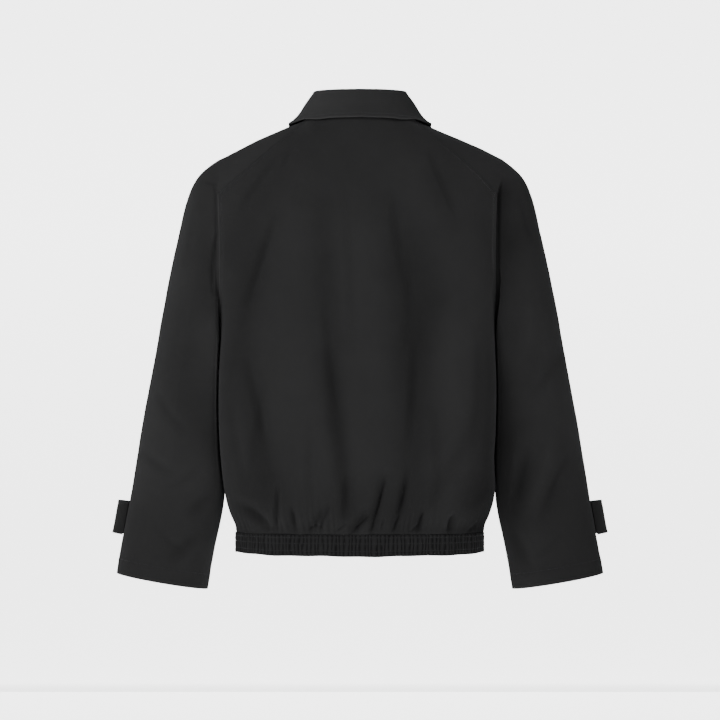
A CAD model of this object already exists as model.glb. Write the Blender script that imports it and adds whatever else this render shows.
"""Blouson jacket in its worn form: cloth, seams, stitches, gathered hem, strapped cuffs and front zip.

Metres, +Z up. The front faces -Y and the wearer's left is +X. The cloth is laid on the same sections, rings and
neck stations as the solids of the frame, and every piece rides on a body of the frame.
"""

import math
from collections import namedtuple

import bpy
import numpy as np
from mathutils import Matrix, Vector, noise
from mathutils.bvhtree import BVHTree


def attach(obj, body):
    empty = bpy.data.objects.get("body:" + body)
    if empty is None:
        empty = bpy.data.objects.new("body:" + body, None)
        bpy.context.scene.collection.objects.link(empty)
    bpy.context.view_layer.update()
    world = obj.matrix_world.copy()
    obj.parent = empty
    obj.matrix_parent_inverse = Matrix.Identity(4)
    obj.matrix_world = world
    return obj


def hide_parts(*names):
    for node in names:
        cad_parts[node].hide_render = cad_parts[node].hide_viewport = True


bl_info = {
    "name": "Blouson Jacket",
    "version": (1, 0, 0),
    "blender": (4, 5, 0),
    "location": "3D View > Sidebar > Jacket",
    "description": "Makes a blouson jacket's cloth, gathers, stitches, straps and zip, with a studio stage",
    "category": "Add Mesh",
}

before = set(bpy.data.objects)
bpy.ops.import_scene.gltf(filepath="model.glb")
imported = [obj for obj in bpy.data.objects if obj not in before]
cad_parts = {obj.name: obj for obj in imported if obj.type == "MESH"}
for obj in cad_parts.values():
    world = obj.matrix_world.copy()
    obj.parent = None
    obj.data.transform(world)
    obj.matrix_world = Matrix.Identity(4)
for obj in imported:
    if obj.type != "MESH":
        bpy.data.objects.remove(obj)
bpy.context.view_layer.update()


def table(kind, rows):
    """Rows of numbers with named columns."""
    return [kind(*row) for row in rows]


CLOTH = 0.0016
COLLAR_CLOTH = 0.0020
STRAP_CLOTH = 0.0022
BACK = 1.0
FRONT = -1.0

HEM_SEAM_Z = -0.6060
HEM_BAND_HEIGHT = 0.0296
HEM_RIBS = 160
HEM_RIB_FADE = 0.050

UNDERARM_Z = -0.3120
BLADE_Z = -0.1850
ARMHOLE_BACK_DEPTH = 0.0660
ARMHOLE_FRONT_DEPTH = 0.0640
SHOULDER_POINT = (0.2135, -0.0040, -0.0456)
ARM_STEPS = 6
# The raglan seam: columns from the neck point to its upper end, rows from the shoulder point to its lower end.
RAGLAN_NECK_COLUMNS = 3
RAGLAN_ARM_ROWS = 3

ZIP_OPENING = 0.0080
TAPE_WIDTH = 0.0145
TAPE_INNER_EDGE = 0.0035
TAPE_CLOTH = 0.0010
TEETH_INNER_EDGE = 0.00015
TEETH_OUTER_EDGE = 0.0032
TEETH_DEPTH = 0.0028
TEETH_END_SHARE = 0.80

NECK_COLUMNS_BACK = 12
NECK_COLUMNS_FRONT = 9
SHOULDER_COLUMNS = 12
SLEEVE_RINGS = 17
EASING_ROUNDS = 10
# Share of the way round the front at which the zip's opening starts.
OPENING_SHARE = 0.039
# How closely a row keeps to the armhole's curve beside it, and how the cloth falls off towards the armhole.
ARMHOLE_PULL = 6
ARMHOLE_SLOPE = 3
SHOULDER_BOW = 0.0035

# ---- sizes of the finished cloth

SHELL = 0.0011
COLLAR_SHELL = 0.0016
STRAP_SHELL = 0.0018
PART_GAP = 0.0003
BUTTON_GAP = 0.0006
BUTTON_HOLE = 0.0011
BUTTON_HOLE_SPREAD = 0.0019
GROOVE_DEPTH = 0.0009
GROOVE_WIDTH = 0.0011
WELT_HEIGHT = 0.0008
WELT_SLOPE = 0.0022
STITCH_DIP = 0.0005
PUCKER_HEIGHT = 0.0003
PUCKER_LENGTH = 0.0085
PUCKER_REACH = 0.0050
ZIP_MARGIN = 0.0075
GATHER_WIDTH = 0.0092
GATHER_HEIGHT = 0.0012
GATHER_REACH = 0.030
CUFF_HEM = 0.0250
CUFF_STITCHES = 0.0230
TUCK_EDGE = 0.0030
# How deep each sleeve is tucked in beside the body's edge, and how far down from it.
TUCKS = {"left": (0.0030, 0.0090), "right": (0.0090, 0.0230)}
LEAN = 0.0022
LEAN_X = 0.2105
LEAN_WIDTH = 0.012
HOLLOW_SHADE = 28.0
CREASE_SHADE = 45.0
FOLD_SPREAD = 1.8
FOLD_SHARPEST = 0.0100
BODY_SHARPNESS = 1.6
SLEEVE_CORNER = 18.0
UNDERARM_REACH = 0.055
UNDERARM_ROUNDS = 90
LOW_SHADE = 0.14
LOW_SIDE_SHADE = 0.16
CUFF_SHADE = 0.16
RIGHT_SHADE = 0.26
RIGHT_SHIFT = 0.0080
RIGHT_SHIFT_WIDTH = 0.030
LEFT_SHADE = 0.16
LEFT_LIGHT = 0.10
COLLAR_LIGHT = 0.20
BESIDE_WIDTH = 0.020
# How much lighter or darker the sleeves are beside the body, by height.
BesideShade = namedtuple("BesideShade", "z left right")
BESIDE_SHADES = table(BesideShade, (
    (-0.6, 0.0, 0.0),
    (-0.52, -0.2, -0.45),
    (-0.48, -0.35, -0.6),
    (-0.4, -0.15, -0.48),
    (-0.32, 0.2, -0.22),
    (-0.28, 0.05, -0.28),
    (-0.24, 0.0, -0.45),
    (-0.1, 0.0, -0.52),
    (-0.075, 0.0, 0.0),
))
STRAP_MARGIN = 0.0040
THREAD_LIFT = 0.0001
POINTS_PER_RIB = 9
HEM_SAG = 0.0024
HEM_TUCK = 0.0009
HEM_TURN_IN = 0.0020
# Heights of the band's stitch rows, and of its points up from the lower edge, closer where they turn.
HEM_STITCH_ROWS = (0.0075, 0.0176, 0.0257)
HEM_LEVELS = (
    0.0, 0.0004, 0.0012, 0.0030, 0.0062, 0.0075, 0.0088, 0.0125, 0.0163, 0.0176, 0.0189, 0.0215, 0.0245, 0.0257,
    0.0269, 0.0283, 0.0291, HEM_BAND_HEIGHT,
)
# How far along the gathers' pattern the fronts start, so that they don't repeat those of the back.
FRONT_GATHER_START = 0.7
# Sizes of the waves in the cloth, how much longer than wide they are, and their shares of the wave height.
BODY_WAVES = ((0.085, 0.032, 0.013), (2.6, 1.8, 1.2), (1.0, 0.35, 0.12))
SLEEVE_WAVES = ((0.070, 0.030, 0.012), (1.9, 1.4, 1.1), (1.0, 0.4, 0.12))
# Heights between which the cloth darkens: towards the hem, and under the arms at each side.
LOW_SHADE_FROM = -0.500
LOW_SHADE_DROP = 0.080
UNDER_SHADE_FROM = -0.270
UNDER_SHADE_DROP = 0.140
TOOTH_PITCH = 0.0028
# Points across a zip tape, as shares of its width, and how far each is raised by the coil under its edge.
TAPE_PLACES = (0.0, 0.03, 0.10, 0.16, 0.20, 0.5, 0.8, 0.93, 1.0)
TAPE_RISES = (-0.00025, 0.00015, 0.00025, 0.0002, 0.0, 0.0, 0.0, 0.0, -0.0002)
EDGE_PLACES = (0.03, 0.07, 0.12, 0.19, 0.28, 0.38, 0.5)
HEM_PLACES = EDGE_PLACES + (0.62, 0.75, 0.87, 1.12, 1.25, 1.37, 1.62, 1.75, 1.87, 2.12, 2.37)
SLEEVE_EDGE_PLACES = (0.02, 0.05, 0.09, 0.13, 0.18, 0.24, 0.31, 0.4, 0.5)
MILLIMETRE = 1000.0
TWILL_WIDTH = 0.00062
TWILL_ANGLE = math.radians(58.0)
WEAR_RANGE = (-0.6, 1.0)
WAVE_PERIOD = math.pi / 10.0
CLOTH_UV = "cloth_lengths"
WEAR = "wear"
UP = "up"
MIRROR = np.array([-1.0, 1.0, 1.0])
ACROSS = np.array([1.0, 0.0, 0.0])
BLOCK_FACES = ((0, 2, 3, 1), (4, 5, 7, 6), (0, 1, 5, 4), (2, 6, 7, 3), (0, 4, 6, 2), (1, 3, 7, 5))
SOCKET_KINDS = {float: "NodeSocketFloat", int: "NodeSocketInt", type(None): "NodeSocketMaterial"}
WHITE = (1.0, 1.0, 1.0, 1.0)
FLOOR_Z = -1.40
FLOOR_END_Y = 9.0
FLOOR_HALF_WIDTH = 10.0
WALL_TOP = 6.0
WALL_Y = -7.5
WALL_BEND = 1.5
MIDDLE_Z = -0.34875
SENSOR = 36.0

# ---- tables of sections

BodySection = namedtuple("BodySection", "z half_width back_depth front_depth squareness")
BODY_SECTIONS = table(BodySection, (
    (-0.606, 0.1862, 0.112, 0.108, 2.5),
    (-0.595, 0.1872, 0.1165, 0.1115, 2.6),
    (-0.583, 0.1922, 0.1205, 0.114, 2.8),
    (-0.559, 0.1987, 0.124, 0.1165, 3.3),
    (-0.52, 0.2043, 0.1245, 0.1185, 3.9),
    (-0.454, 0.2088, 0.1235, 0.1195, 4.4),
    (-0.409, 0.2098, 0.1225, 0.1195, 4.4),
    (-0.312, 0.2085, 0.122, 0.1195, 4.4),
    (-0.185, 0.2085, 0.119, 0.1165, 3.8),
    (-0.1, 0.2105, 0.119, 0.1165, 3.4),
    (-0.0456, 0.2135, 0.119, 0.1165, 3.0),
))
BODY_LEVELS = (
    -0.6060, -0.5965, -0.5860, -0.5720, -0.5500, -0.5200, -0.4800, -0.4360, -0.3940, -0.3520, -0.3120,
)

# How squarely the back and the fronts turn over from the blades to the top edge: 2 is an ellipse.
OverTurn = namedtuple("OverTurn", "x back front")
OVER_TURNS = table(OverTurn, (
    (0.0, 1.7, 1.5),
    (0.045, 1.9, 1.6),
    (0.081, 2.9, 1.9),
    (0.13, 2.5, 2.0),
    (0.2135, 2.0, 2.0),
))

# One row for each station round the neck, from the centre back to the centre front:
# the seam on the body, the fold line at the top of the stand, and the leaf's outer edge.
CollarStation = namedtuple("CollarStation", "seam_x seam_y seam_z fold_x fold_y fold_z edge_x edge_y edge_z")
COLLAR_STATIONS = table(CollarStation, (
    (0.0, 0.0815, 0.017, 0.0, 0.0745, 0.05, 0.0, 0.093, 0.0105),
    (0.034, 0.076, 0.016, 0.0315, 0.0685, 0.05, 0.043, 0.0865, 0.0095),
    (0.062, 0.056, 0.013, 0.056, 0.049, 0.05, 0.079, 0.062, 0.006),
    (0.077, 0.03, 0.0118, 0.067, 0.025, 0.0498, 0.099, 0.032, 0.0035),
    (0.081, 0.0045, 0.0105, 0.069, 0.002, 0.0485, 0.1065, 0.002, 0.003),
    (0.076, -0.024, 0.001, 0.064, -0.025, 0.039, 0.104, -0.035, -0.013),
    (0.061, -0.05, -0.018, 0.05, -0.049, 0.018, 0.093, -0.069, -0.043),
    (0.038, -0.069, -0.039, 0.029, -0.066, -0.006, 0.072, -0.086, -0.064),
    (0.008, -0.078, -0.052, 0.008, -0.075, -0.024, 0.052, -0.1, -0.078),
))
SHOULDER_STATION = 4
NECK_SEAM_LIFT = 0.0004
LEAF_LIFT = 0.0035
# The leaf where it turns over the stand: how far outside the fold line and how far above it.
LEAF_ROLL = ((-0.0018, 0.0023), (0.0012, 0.0025), (0.0034, -0.0012))
# The leaf below its fold: share of the way to its edge, and how far it bows out from the straight line there.
LEAF_FALL = ((0.28, 0.0018), (0.52, -0.0002), (0.76, -0.0008), (1.0, 0.0))

# Half of the sleeve's rings, from the armhole to the cuff: the point against the body, the outer point,
# how deep the ring is behind and in front of the line between them, how far it hangs forward, and how squarely
# it turns over beside the body: 2 is an ellipse, 4 nearly square.
SleeveRing = namedtuple("SleeveRing", "inner_x inner_z outer_x outer_z back_depth front_depth forward squareness")
SLEEVE_TABLE = table(SleeveRing, (
    (0.2088, -0.312, 0.2138, -0.0456, 0.066, 0.064, 0.0, 2.2),
    (0.2097, -0.3165, 0.233, -0.0605, 0.069, 0.0665, 0.0, 2.6),
    (0.21, -0.322, 0.25, -0.0858, 0.0715, 0.069, 0.001, 3.0),
    (0.2102, -0.33, 0.261, -0.115, 0.0735, 0.071, 0.002, 3.4),
    (0.2104, -0.341, 0.2705, -0.154, 0.075, 0.0725, 0.003, 3.8),
    (0.2106, -0.357, 0.2812, -0.202, 0.0765, 0.074, 0.004, 4.0),
    (0.211, -0.379, 0.2925, -0.258, 0.077, 0.0745, 0.005, 4.0),
    (0.2112, -0.408, 0.3035, -0.3165, 0.0765, 0.074, 0.006, 4.0),
    (0.2106, -0.445, 0.316, -0.385, 0.0755, 0.073, 0.008, 4.0),
    (0.2087, -0.485, 0.3262, -0.4435, 0.074, 0.0715, 0.01, 3.6),
    (0.2055, -0.525, 0.3345, -0.495, 0.072, 0.0695, 0.012, 3.0),
    (0.2034, -0.554, 0.3402, -0.5293, 0.07, 0.068, 0.013, 2.6),
    (0.2091, -0.583, 0.3454, -0.5582, 0.068, 0.066, 0.014, 2.3),
    (0.216, -0.619, 0.3523, -0.5942, 0.0655, 0.064, 0.015, 2.2),
    (0.2242, -0.662, 0.3604, -0.6372, 0.0635, 0.0625, 0.016, 2.1),
    (0.2292, -0.6925, 0.3657, -0.6688, 0.0625, 0.062, 0.016, 2.0),
))
ARMHOLE_FADE = 0.25

# A fold is a soft trough, or a ridge where its depth is negative, along a bent line on the face it lies on.
# The tables of folds are in tenths of a millimetre.
Fold = namedtuple("Fold", "start_x start_z bend_x bend_z end_x end_z width depth")
TENTHS_IN_METRE = 10000.0


def folds_of(rows):
    return [Fold(*(value / TENTHS_IN_METRE for value in row)) for row in rows]


BACK_FOLDS = folds_of((
    (1220, -540, 1480, -880, 1900, -1900, 130, 42), (1250, -1290, 1780, -2400, 1690, -3410, 140, 60),
    (1690, -3410, 1440, -4500, 1220, -5960, 130, 55), (540, -1110, 500, -3050, 160, -5600, 130, 45),
    (-440, -1030, -1030, -3340, -620, -5840, 190, 70), (-1000, -1670, -1230, -2460, -940, -3200, 140, 35),
    (-1040, -540, -1190, -860, -1420, -1340, 120, 38), (1000, -1500, 940, -3300, 980, -5200, 220, -40),
    (-120, -1200, -260, -3200, -100, -5400, 240, -40), (-1500, -2000, -1560, -3600, -1460, -5200, 260, -35),
    (1800, -5600, 1520, -5720, 1360, -5960, 70, 45), (990, -5660, 980, -5850, 970, -6040, 60, 40),
    (500, -5660, 600, -5850, 770, -6040, 60, 40), (-150, -5700, -30, -5820, 130, -6040, 70, 55),
    (-350, -5200, -280, -5600, -180, -6020, 70, 55), (-660, -5300, -600, -5650, -510, -6020, 60, 40),
    (-920, -5720, -900, -5880, -870, -6040, 60, 40), (-1370, -5750, -1340, -5900, -1310, -6040, 60, 40),
))
FRONT_FOLDS = folds_of((
    (1300, -600, 1400, -1400, 1720, -2400, 130, 45), (600, -1500, 780, -3300, 600, -5600, 180, 50),
    (1720, -3300, 1400, -4400, 1280, -5900, 140, 50), (1000, -2000, 1080, -3600, 960, -5000, 240, -35),
    (880, -5600, 920, -5820, 1000, -6030, 70, 40), (480, -5660, 500, -5850, 460, -6030, 70, 40),
    (-1240, -560, -1380, -1500, -1760, -2260, 130, 45), (-700, -1800, -580, -3600, -800, -5800, 180, 55),
    (-1680, -3400, -1500, -4600, -1160, -5800, 140, 45), (-1120, -2200, -1180, -3500, -1080, -4800, 240, -35),
    (-400, -5620, -460, -5850, -500, -6030, 70, 40), (-1340, -5660, -1300, -5860, -1240, -6030, 70, 40),
))
LEFT_SLEEVE_FOLDS = folds_of((
    (2190, -1700, 2170, -2150, 2190, -2600, 120, 40), (2190, -5530, 2360, -5660, 2520, -5720, 90, 35),
    (2260, -6060, 2580, -6240, 2840, -6460, 100, 35), (3000, -2400, 2680, -3300, 2500, -4300, 200, 40),
))
RIGHT_SLEEVE_FOLDS = folds_of((
    (-2480, -1320, -2380, -1600, -2320, -1900, 120, 35), (-2720, -4860, -2440, -5200, -2240, -5780, 120, 50),
    (-3220, -4860, -2960, -5400, -2700, -5940, 130, 40), (-2200, -5940, -2380, -6260, -2520, -6560, 100, 35),
))
# Finer creases of the same kind, which only the finished cloth shows.
BACK_CREASES = folds_of((
    (460, -3400, 330, -4400, 170, -5700, 130, 42), (-1000, -5600, -1350, -5000, -1750, -4300, 120, 24),
    (1180, -419, 1475, -744, 1785, -1260, 60, 26), (1239, -1334, 1475, -2013, 1711, -2661, 70, 28),
    (1682, -3488, 1505, -4107, 1372, -4889, 65, 24), (502, -2602, 472, -3428, 354, -4196, 60, 18),
    (-797, -3266, -782, -4048, -708, -4727, 70, 28), (-472, -1069, -531, -1718, -693, -2485, 80, 24),
    (-1032, -390, -1151, -729, -1416, -1290, 60, 24), (1020, -410, 1080, -500, 1140, -620, 50, 16),
    (2000, -740, 2140, -780, 2260, -860, 50, 20), (-1650, -540, -1820, -680, -2000, -820, 40, 16),
    (200, -1000, 140, -2100, 100, -3300, 90, 16), (-700, -1800, -780, -2400, -660, -3300, 70, 14),
    (1400, -3800, 1500, -4400, 1600, -5200, 80, 18), (1900, -4200, 1800, -4800, 1680, -5400, 80, 18),
    (-1100, -4200, -1180, -4800, -1120, -5600, 80, 18), (-1750, -3000, -1800, -3800, -1700, -4700, 100, 18),
    (700, -4400, 760, -5000, 720, -5600, 80, 15), (1791, -5660, 1600, -5778, 1365, -5969, 60, 30),
    (1204, -5367, 1218, -5690, 1248, -6013, 42, 40), (426, -5601, 558, -5880, 587, -6042, 28, 30),
    (-161, -5763, -15, -5924, 161, -6071, 26, 36), (-382, -5220, -273, -5587, -161, -6013, 30, 42),
    (-705, -5102, -661, -5455, -573, -5719, 50, 36), (-587, -5778, -528, -5895, -492, -6013, 24, 32),
    (-918, -5748, -866, -5924, -829, -6057, 30, 34), (-1358, -5807, -1321, -5924, -1299, -6057, 26, 28),
    (-1732, -5924, -1630, -6013, -1527, -6086, 30, 22), (206, -5220, 206, -5543, 235, -5778, 55, 32),
    (-352, -5836, -323, -5939, -301, -6027, 24, 22), (984, -5719, 969, -5895, 947, -6042, 30, 20),
    (719, -5969, 631, -5895, 543, -5969, 20, 18), (382, -6042, 279, -5939, 176, -5880, 22, 20),
    (-690, -6057, -763, -5998, -851, -5939, 22, 24), (1747, -6027, 1674, -5998, 1585, -6042, 22, 16),
))
FRONT_CREASES = folds_of((
    (300, -1300, 360, -2400, 300, -3500, 90, 16), (800, -4200, 880, -4800, 840, -5600, 80, 18),
    (1500, -3600, 1600, -4300, 1500, -5200, 90, 18), (1100, -600, 1300, -750, 1500, -900, 50, 16),
    (-300, -1500, -340, -2600, -260, -3600, 90, 16), (-900, -4000, -960, -4700, -880, -5500, 80, 18),
    (-1550, -3400, -1660, -4200, -1540, -5000, 90, 18), (-1050, -640, -1260, -800, -1480, -980, 50, 16),
))
LEFT_SLEEVE_CREASES = folds_of((
    (2324, -823, 2206, -852, 2102, -889, 26, 30), (2125, -1681, 2169, -2066, 2125, -2510, 50, 50),
    (2450, -1400, 2520, -1700, 2620, -2050, 60, 16), (3000, -4000, 2850, -4300, 2620, -4500, 70, 18),
    (3300, -4800, 3050, -5050, 2750, -5150, 80, 22), (2350, -5050, 2550, -5250, 2800, -5350, 60, 16),
    (3000, -6000, 2850, -6200, 2620, -6320, 60, 14),
))
RIGHT_SLEEVE_CREASES = folds_of((
    (-2400, -1000, -2520, -1400, -2620, -1800, 60, 18), (-3000, -3300, -2850, -3700, -2620, -3950, 80, 18),
    (-2540, -2610, -2500, -3190, -2380, -3660, 100, -18), (-2520, -4810, -2440, -5170, -2350, -5540, 60, 28),
    (-3100, -4950, -2930, -5250, -2710, -5810, 60, 28), (-2410, -4510, -2290, -5100, -2190, -5690, 40, -16),
    (-2890, -4660, -2710, -5100, -2510, -5720, 100, -30), (-3000, -6100, -2800, -6300, -2620, -6400, 60, 14),
))
FOLD_STEPS = 12
FOLD_END_MARGIN = 0.08
FOLD_END_SOFTNESS = 0.7

# Straps: how far round the cuff from its outermost line, and how far the strap's middle stands off there.
StrapPoint = namedtuple("StrapPoint", "degrees lift width_share")
STRAP_POINTS = table(StrapPoint, (
    (1.0, 0.0016, 1.0),
    (1.6, 0.009, 1.0),
    (4.0, 0.0155, 1.0),
    (9.0, 0.0182, 1.0),
    (17.0, 0.0182, 1.0),
    (27.0, 0.0155, 1.0),
    (38.0, 0.011, 1.0),
    (50.0, 0.0062, 1.0),
    (61.0, 0.0032, 1.0),
    (72.0, 0.0022, 1.0),
    (82.0, 0.002, 0.82),
    (89.0, 0.002, 0.36),
))
STRAP_CENTRE_Z = -0.5872
STRAP_HALF_WIDTH = 0.0250
BUTTON_DEGREES = 74.0
BUTTON_RADIUS = 0.0085
BUTTON_HEIGHT = 0.0030
# Shares of the button's radius and height, from its foot over the rim to the middle of its dish.
BUTTON_PROFILE = (
    (0.80, 0.0), (0.93, 0.10), (1.00, 0.35), (1.00, 0.55), (0.97, 0.80), (0.91, 0.95),
    (0.84, 1.0), (0.76, 0.97), (0.69, 0.84), (0.63, 0.72), (0.50, 0.66),
)

# Slider and pull, along the zip (up), across it, and out from the tooth row's middle plane.
SLIDER_CENTRE_Z = -0.0665
SLIDER_HALF_LENGTH = 0.0055
SLIDER_HALF_WIDTH = 0.0046
SLIDER_PLATE = 0.0011
BAIL_HALF_LENGTH = 0.0034
BAIL_HALF_WIDTH = 0.0010
BAIL_RISE = 0.0034
BAIL_WALL = 0.0009
PULL_BAR_HALF = 0.0006
PULL_WINDOW_HALF = 0.0017
PULL_WINDOW_LENGTH = 0.0052
PULL_HALF_WIDTH = 0.0036
PULL_LENGTH = 0.0300
BOX_HEIGHT = 0.0100


# ---- form

def column(rows, name):
    """One named column of a table as an array."""
    return np.array([getattr(row, name) for row in rows])


def curve_through(xs, ys, x):
    """Read a smooth curve that passes the given points and never overshoots them."""
    xs = np.asarray(xs, float)
    ys = np.asarray(ys, float)
    x = np.clip(np.asarray(x, float), xs[0], xs[-1])
    step = np.diff(xs)
    rise = np.diff(ys) / step
    product = rise[:-1] * rise[1:]
    total = rise[:-1] + rise[1:]
    slope = np.empty_like(ys)
    slope[0] = rise[0]
    slope[-1] = rise[-1]
    slope[1:-1] = np.where(product > 0.0, 2.0 * product / np.where(product > 0.0, total, 1.0), 0.0)
    i = np.clip(np.searchsorted(xs, x, side="right") - 1, 0, len(step) - 1)
    t = (x - xs[i]) / step[i]
    start = (1.0 + 2.0 * t) * (1.0 - t) ** 2 * ys[i] + t * (1.0 - t) ** 2 * step[i] * slope[i]
    end = t * t * (3.0 - 2.0 * t) * ys[i + 1] - t * t * (1.0 - t) * step[i] * slope[i + 1]
    return start + end


def ramp(t):
    """A soft step from 0 to 1."""
    t = np.clip(t, 0.0, 1.0)
    return t * t * (3.0 - 2.0 * t)


def near(distance, width):
    """1 at a line, falling off softly to 0 beyond a width from it."""
    return np.exp(-(distance / width) ** 2)


def swell(way, length, start=0.0):
    return np.sin(2.0 * np.pi * way / length + start)


def unit(vectors):
    return vectors / np.linalg.norm(vectors, axis=-1, keepdims=True)


def travelled(points):
    """Share of the way along a line of points, 0 at its start and 1 at its end."""
    steps = np.linalg.norm(np.diff(points, axis=0), axis=1)
    way = np.concatenate([[0.0], np.cumsum(steps)])
    return way / way[-1]


def grid_normals(points):
    """Unit normals of a grid of points, rows by columns."""
    return unit(np.cross(np.gradient(points, axis=1), np.gradient(points, axis=0)))


def fold_depth(points, folds):
    """How far each point is pressed in by the folds, by its place in the plane of X and Z."""
    place = points[..., [0, 2]]
    depth = np.zeros(place.shape[:-1])
    t = np.linspace(0.0, 1.0, FOLD_STEPS + 1)[:, None]
    for fold in folds:
        start, bend, end = (np.array(fold[i: i + 2]) for i in (0, 2, 4))
        path = (1.0 - t) ** 2 * start + 2.0 * t * (1.0 - t) * bend + t * t * end
        nearest = np.full(depth.shape, np.inf)
        along = np.zeros(depth.shape)
        for i in range(FOLD_STEPS):
            step = path[i + 1] - path[i]
            share = np.clip(((place - path[i]) @ step) / (step @ step), 0.0, 1.0)
            away = np.linalg.norm(place - path[i] - share[..., None] * step, axis=-1)
            along = np.where(away < nearest, (i + share) / FOLD_STEPS, along)
            nearest = np.minimum(away, nearest)
        fade = np.sin(np.pi * (FOLD_END_MARGIN + (1.0 - 2.0 * FOLD_END_MARGIN) * along)) ** FOLD_END_SOFTNESS
        depth += fold.depth * fade * near(nearest, fold.width)
    return depth


# Place of each collar station along the neck seam, 0 at the centre back and 1 at the centre front.
NECK_SHARES = travelled(np.array([station[:3] for station in COLLAR_STATIONS]))
NECK_POINT_SHARE = NECK_SHARES[SHOULDER_STATION]


def collar_line(part, share):
    """Points of the seam, fold or edge line at shares round the neck, on the wearer's left side."""
    return np.stack([
        curve_through(NECK_SHARES, column(COLLAR_STATIONS, part + "_" + axis), share) for axis in "xyz"
    ], axis=-1)


def body_section(face, z):
    depth_name = "back_depth" if face == BACK else "front_depth"
    levels = column(BODY_SECTIONS, "z")
    return tuple(
        curve_through(levels, column(BODY_SECTIONS, name), z) for name in ("half_width", depth_name, "squareness")
    )


def section_line(face, z, count):
    """Points of a quarter of a body section, from its centre to its side."""
    half_width, depth, power = body_section(face, z)
    angle = np.linspace(0.0, math.pi / 2.0, count)
    sides = half_width * np.sin(angle) ** (2.0 / power), face * depth * np.cos(angle) ** (2.0 / power)
    return np.stack(sides, axis=-1)


def even_side_shares(face, places):
    """Sideways share of the half width at even steps of cloth round a chest section, centre to side."""
    line = section_line(face, UNDERARM_Z, 400)
    return np.interp(places, travelled(line), line[:, 0] / line[-1, 0])


def top_edge(face):
    """Left half of a panel's top edge, from the centre out: the neck seam, then the shoulder seam."""
    centre, neck_columns = (0.0, NECK_COLUMNS_BACK) if face == BACK else (1.0, NECK_COLUMNS_FRONT)
    t = np.linspace(0.0, 1.0, neck_columns + 1)
    neck = collar_line("seam", centre + (NECK_POINT_SHARE - centre) * t)
    t = np.linspace(0.0, 1.0, SHOULDER_COLUMNS + 1)[1:, None]
    shoulder = collar_line("seam", NECK_POINT_SHARE) * (1.0 - t) + np.array(SHOULDER_POINT) * t
    shoulder[:, 2] += SHOULDER_BOW * np.sin(np.pi * t[:, 0]) * t[:, 0]
    return np.concatenate([neck, shoulder])


def turned_over(depth, top, powers, share):
    """How far back and how high each column of a panel is, a share of the way from the blades to its top edge."""
    turn = np.linspace(0.0, math.pi / 2.0, 49)
    y = np.empty(len(top))
    z = np.empty(len(top))
    for i, (edge, power) in enumerate(zip(top, powers)):
        line = np.zeros((len(turn), 3))
        line[:, 1] = edge[1] + (depth[i] - edge[1]) * np.clip(np.cos(turn), 0.0, 1.0) ** (2.0 / power)
        line[:, 2] = BLADE_Z + (edge[2] - BLADE_Z) * np.sin(turn) ** (2.0 / power)
        place = travelled(line)
        y[i] = np.interp(share, place, line[:, 1])
        z[i] = np.interp(share, place, line[:, 2])
    return y, z


def half_panel(face):
    """Left half of the back or front: rows from the hem seam to the top, columns from centre to side."""
    top = top_edge(face)
    place = travelled(top)
    start = 0.0 if face == BACK else OPENING_SHARE
    side = even_side_shares(face, start + (1.0 - start) * place)
    if face == FRONT:
        side[0] = ZIP_OPENING / SHOULDER_POINT[0]
    side_top = top[:, 0] / SHOULDER_POINT[0]
    armhole_depth = ARMHOLE_BACK_DEPTH if face == BACK else ARMHOLE_FRONT_DEPTH
    turns = column(OVER_TURNS, "back" if face == BACK else "front")
    powers = curve_through(column(OVER_TURNS, "x"), turns, top[:, 0])
    rows = []
    for z in BODY_LEVELS:
        half_width, depth, power = body_section(face, z)
        x = half_width * side
        if face == FRONT:
            x[0] = ZIP_OPENING
        y = face * depth * np.maximum(1.0 - side ** power, 0.0) ** (1.0 / power)
        y[-1] = 0.0
        rows.append(np.stack([x, y, np.full_like(x, z)], axis=-1))
    for step in range(1, 2 * ARM_STEPS + 1):
        low_turn = math.pi / 2.0 * min(step / ARM_STEPS, 1.0)
        high_turn = math.pi / 2.0 * max(step / ARM_STEPS - 1.0, 0.0)
        blend = ramp(step / (2.0 * ARM_STEPS))
        reach = side * (1.0 - blend) + side_top * blend
        edge_low_z = BLADE_Z - (BLADE_Z - UNDERARM_Z) * math.cos(low_turn)
        edge_z = edge_low_z + (SHOULDER_POINT[2] - BLADE_Z) * math.sin(high_turn)
        half_width = body_section(face, edge_z)[0]
        x = half_width * reach
        if face == FRONT:
            x[0] = ZIP_OPENING
        even_z = UNDERARM_Z + (BLADE_Z - UNDERARM_Z) * min(step / ARM_STEPS, 1.0)
        bend = side ** ARMHOLE_PULL
        low_z = even_z * (1.0 - bend) + edge_low_z * bend
        depth, power = body_section(face, low_z)[1:]
        edge_depth = armhole_depth * math.sin(low_turn)
        flatness = ramp(step / ARM_STEPS)
        round_off = np.maximum(1.0 - reach ** power, 0.0) ** (1.0 / power)
        slope_off = 1.0 - reach ** ARMHOLE_SLOPE
        share = (1.0 - flatness) * round_off + flatness * slope_off
        full = face * (edge_depth + (depth - edge_depth) * share)
        if step <= ARM_STEPS:
            y = full
            z = low_z
        else:
            y, z = turned_over(full, top, powers, step / ARM_STEPS - 1.0)
        rows.append(np.stack([x, y, z], axis=-1))
    rows[-1] = top
    return np.array(rows)


ARMHOLE_ROW = len(BODY_LEVELS) - 1


def eased(grid):
    """Even out a panel above the underarm across its columns, less towards its top edge."""
    rows = np.arange(len(grid))
    share = ramp((len(grid) - 1 - rows) / 2.5) * ramp((rows - ARMHOLE_ROW) / 4.0)
    for _ in range(EASING_ROUNDS):
        middle = (grid[:, :-2] + grid[:, 2:]) / 2.0 - grid[:, 1:-1]
        grid[:, 1:-1] += middle * 0.5 * share[:, None, None]
    return grid


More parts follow.
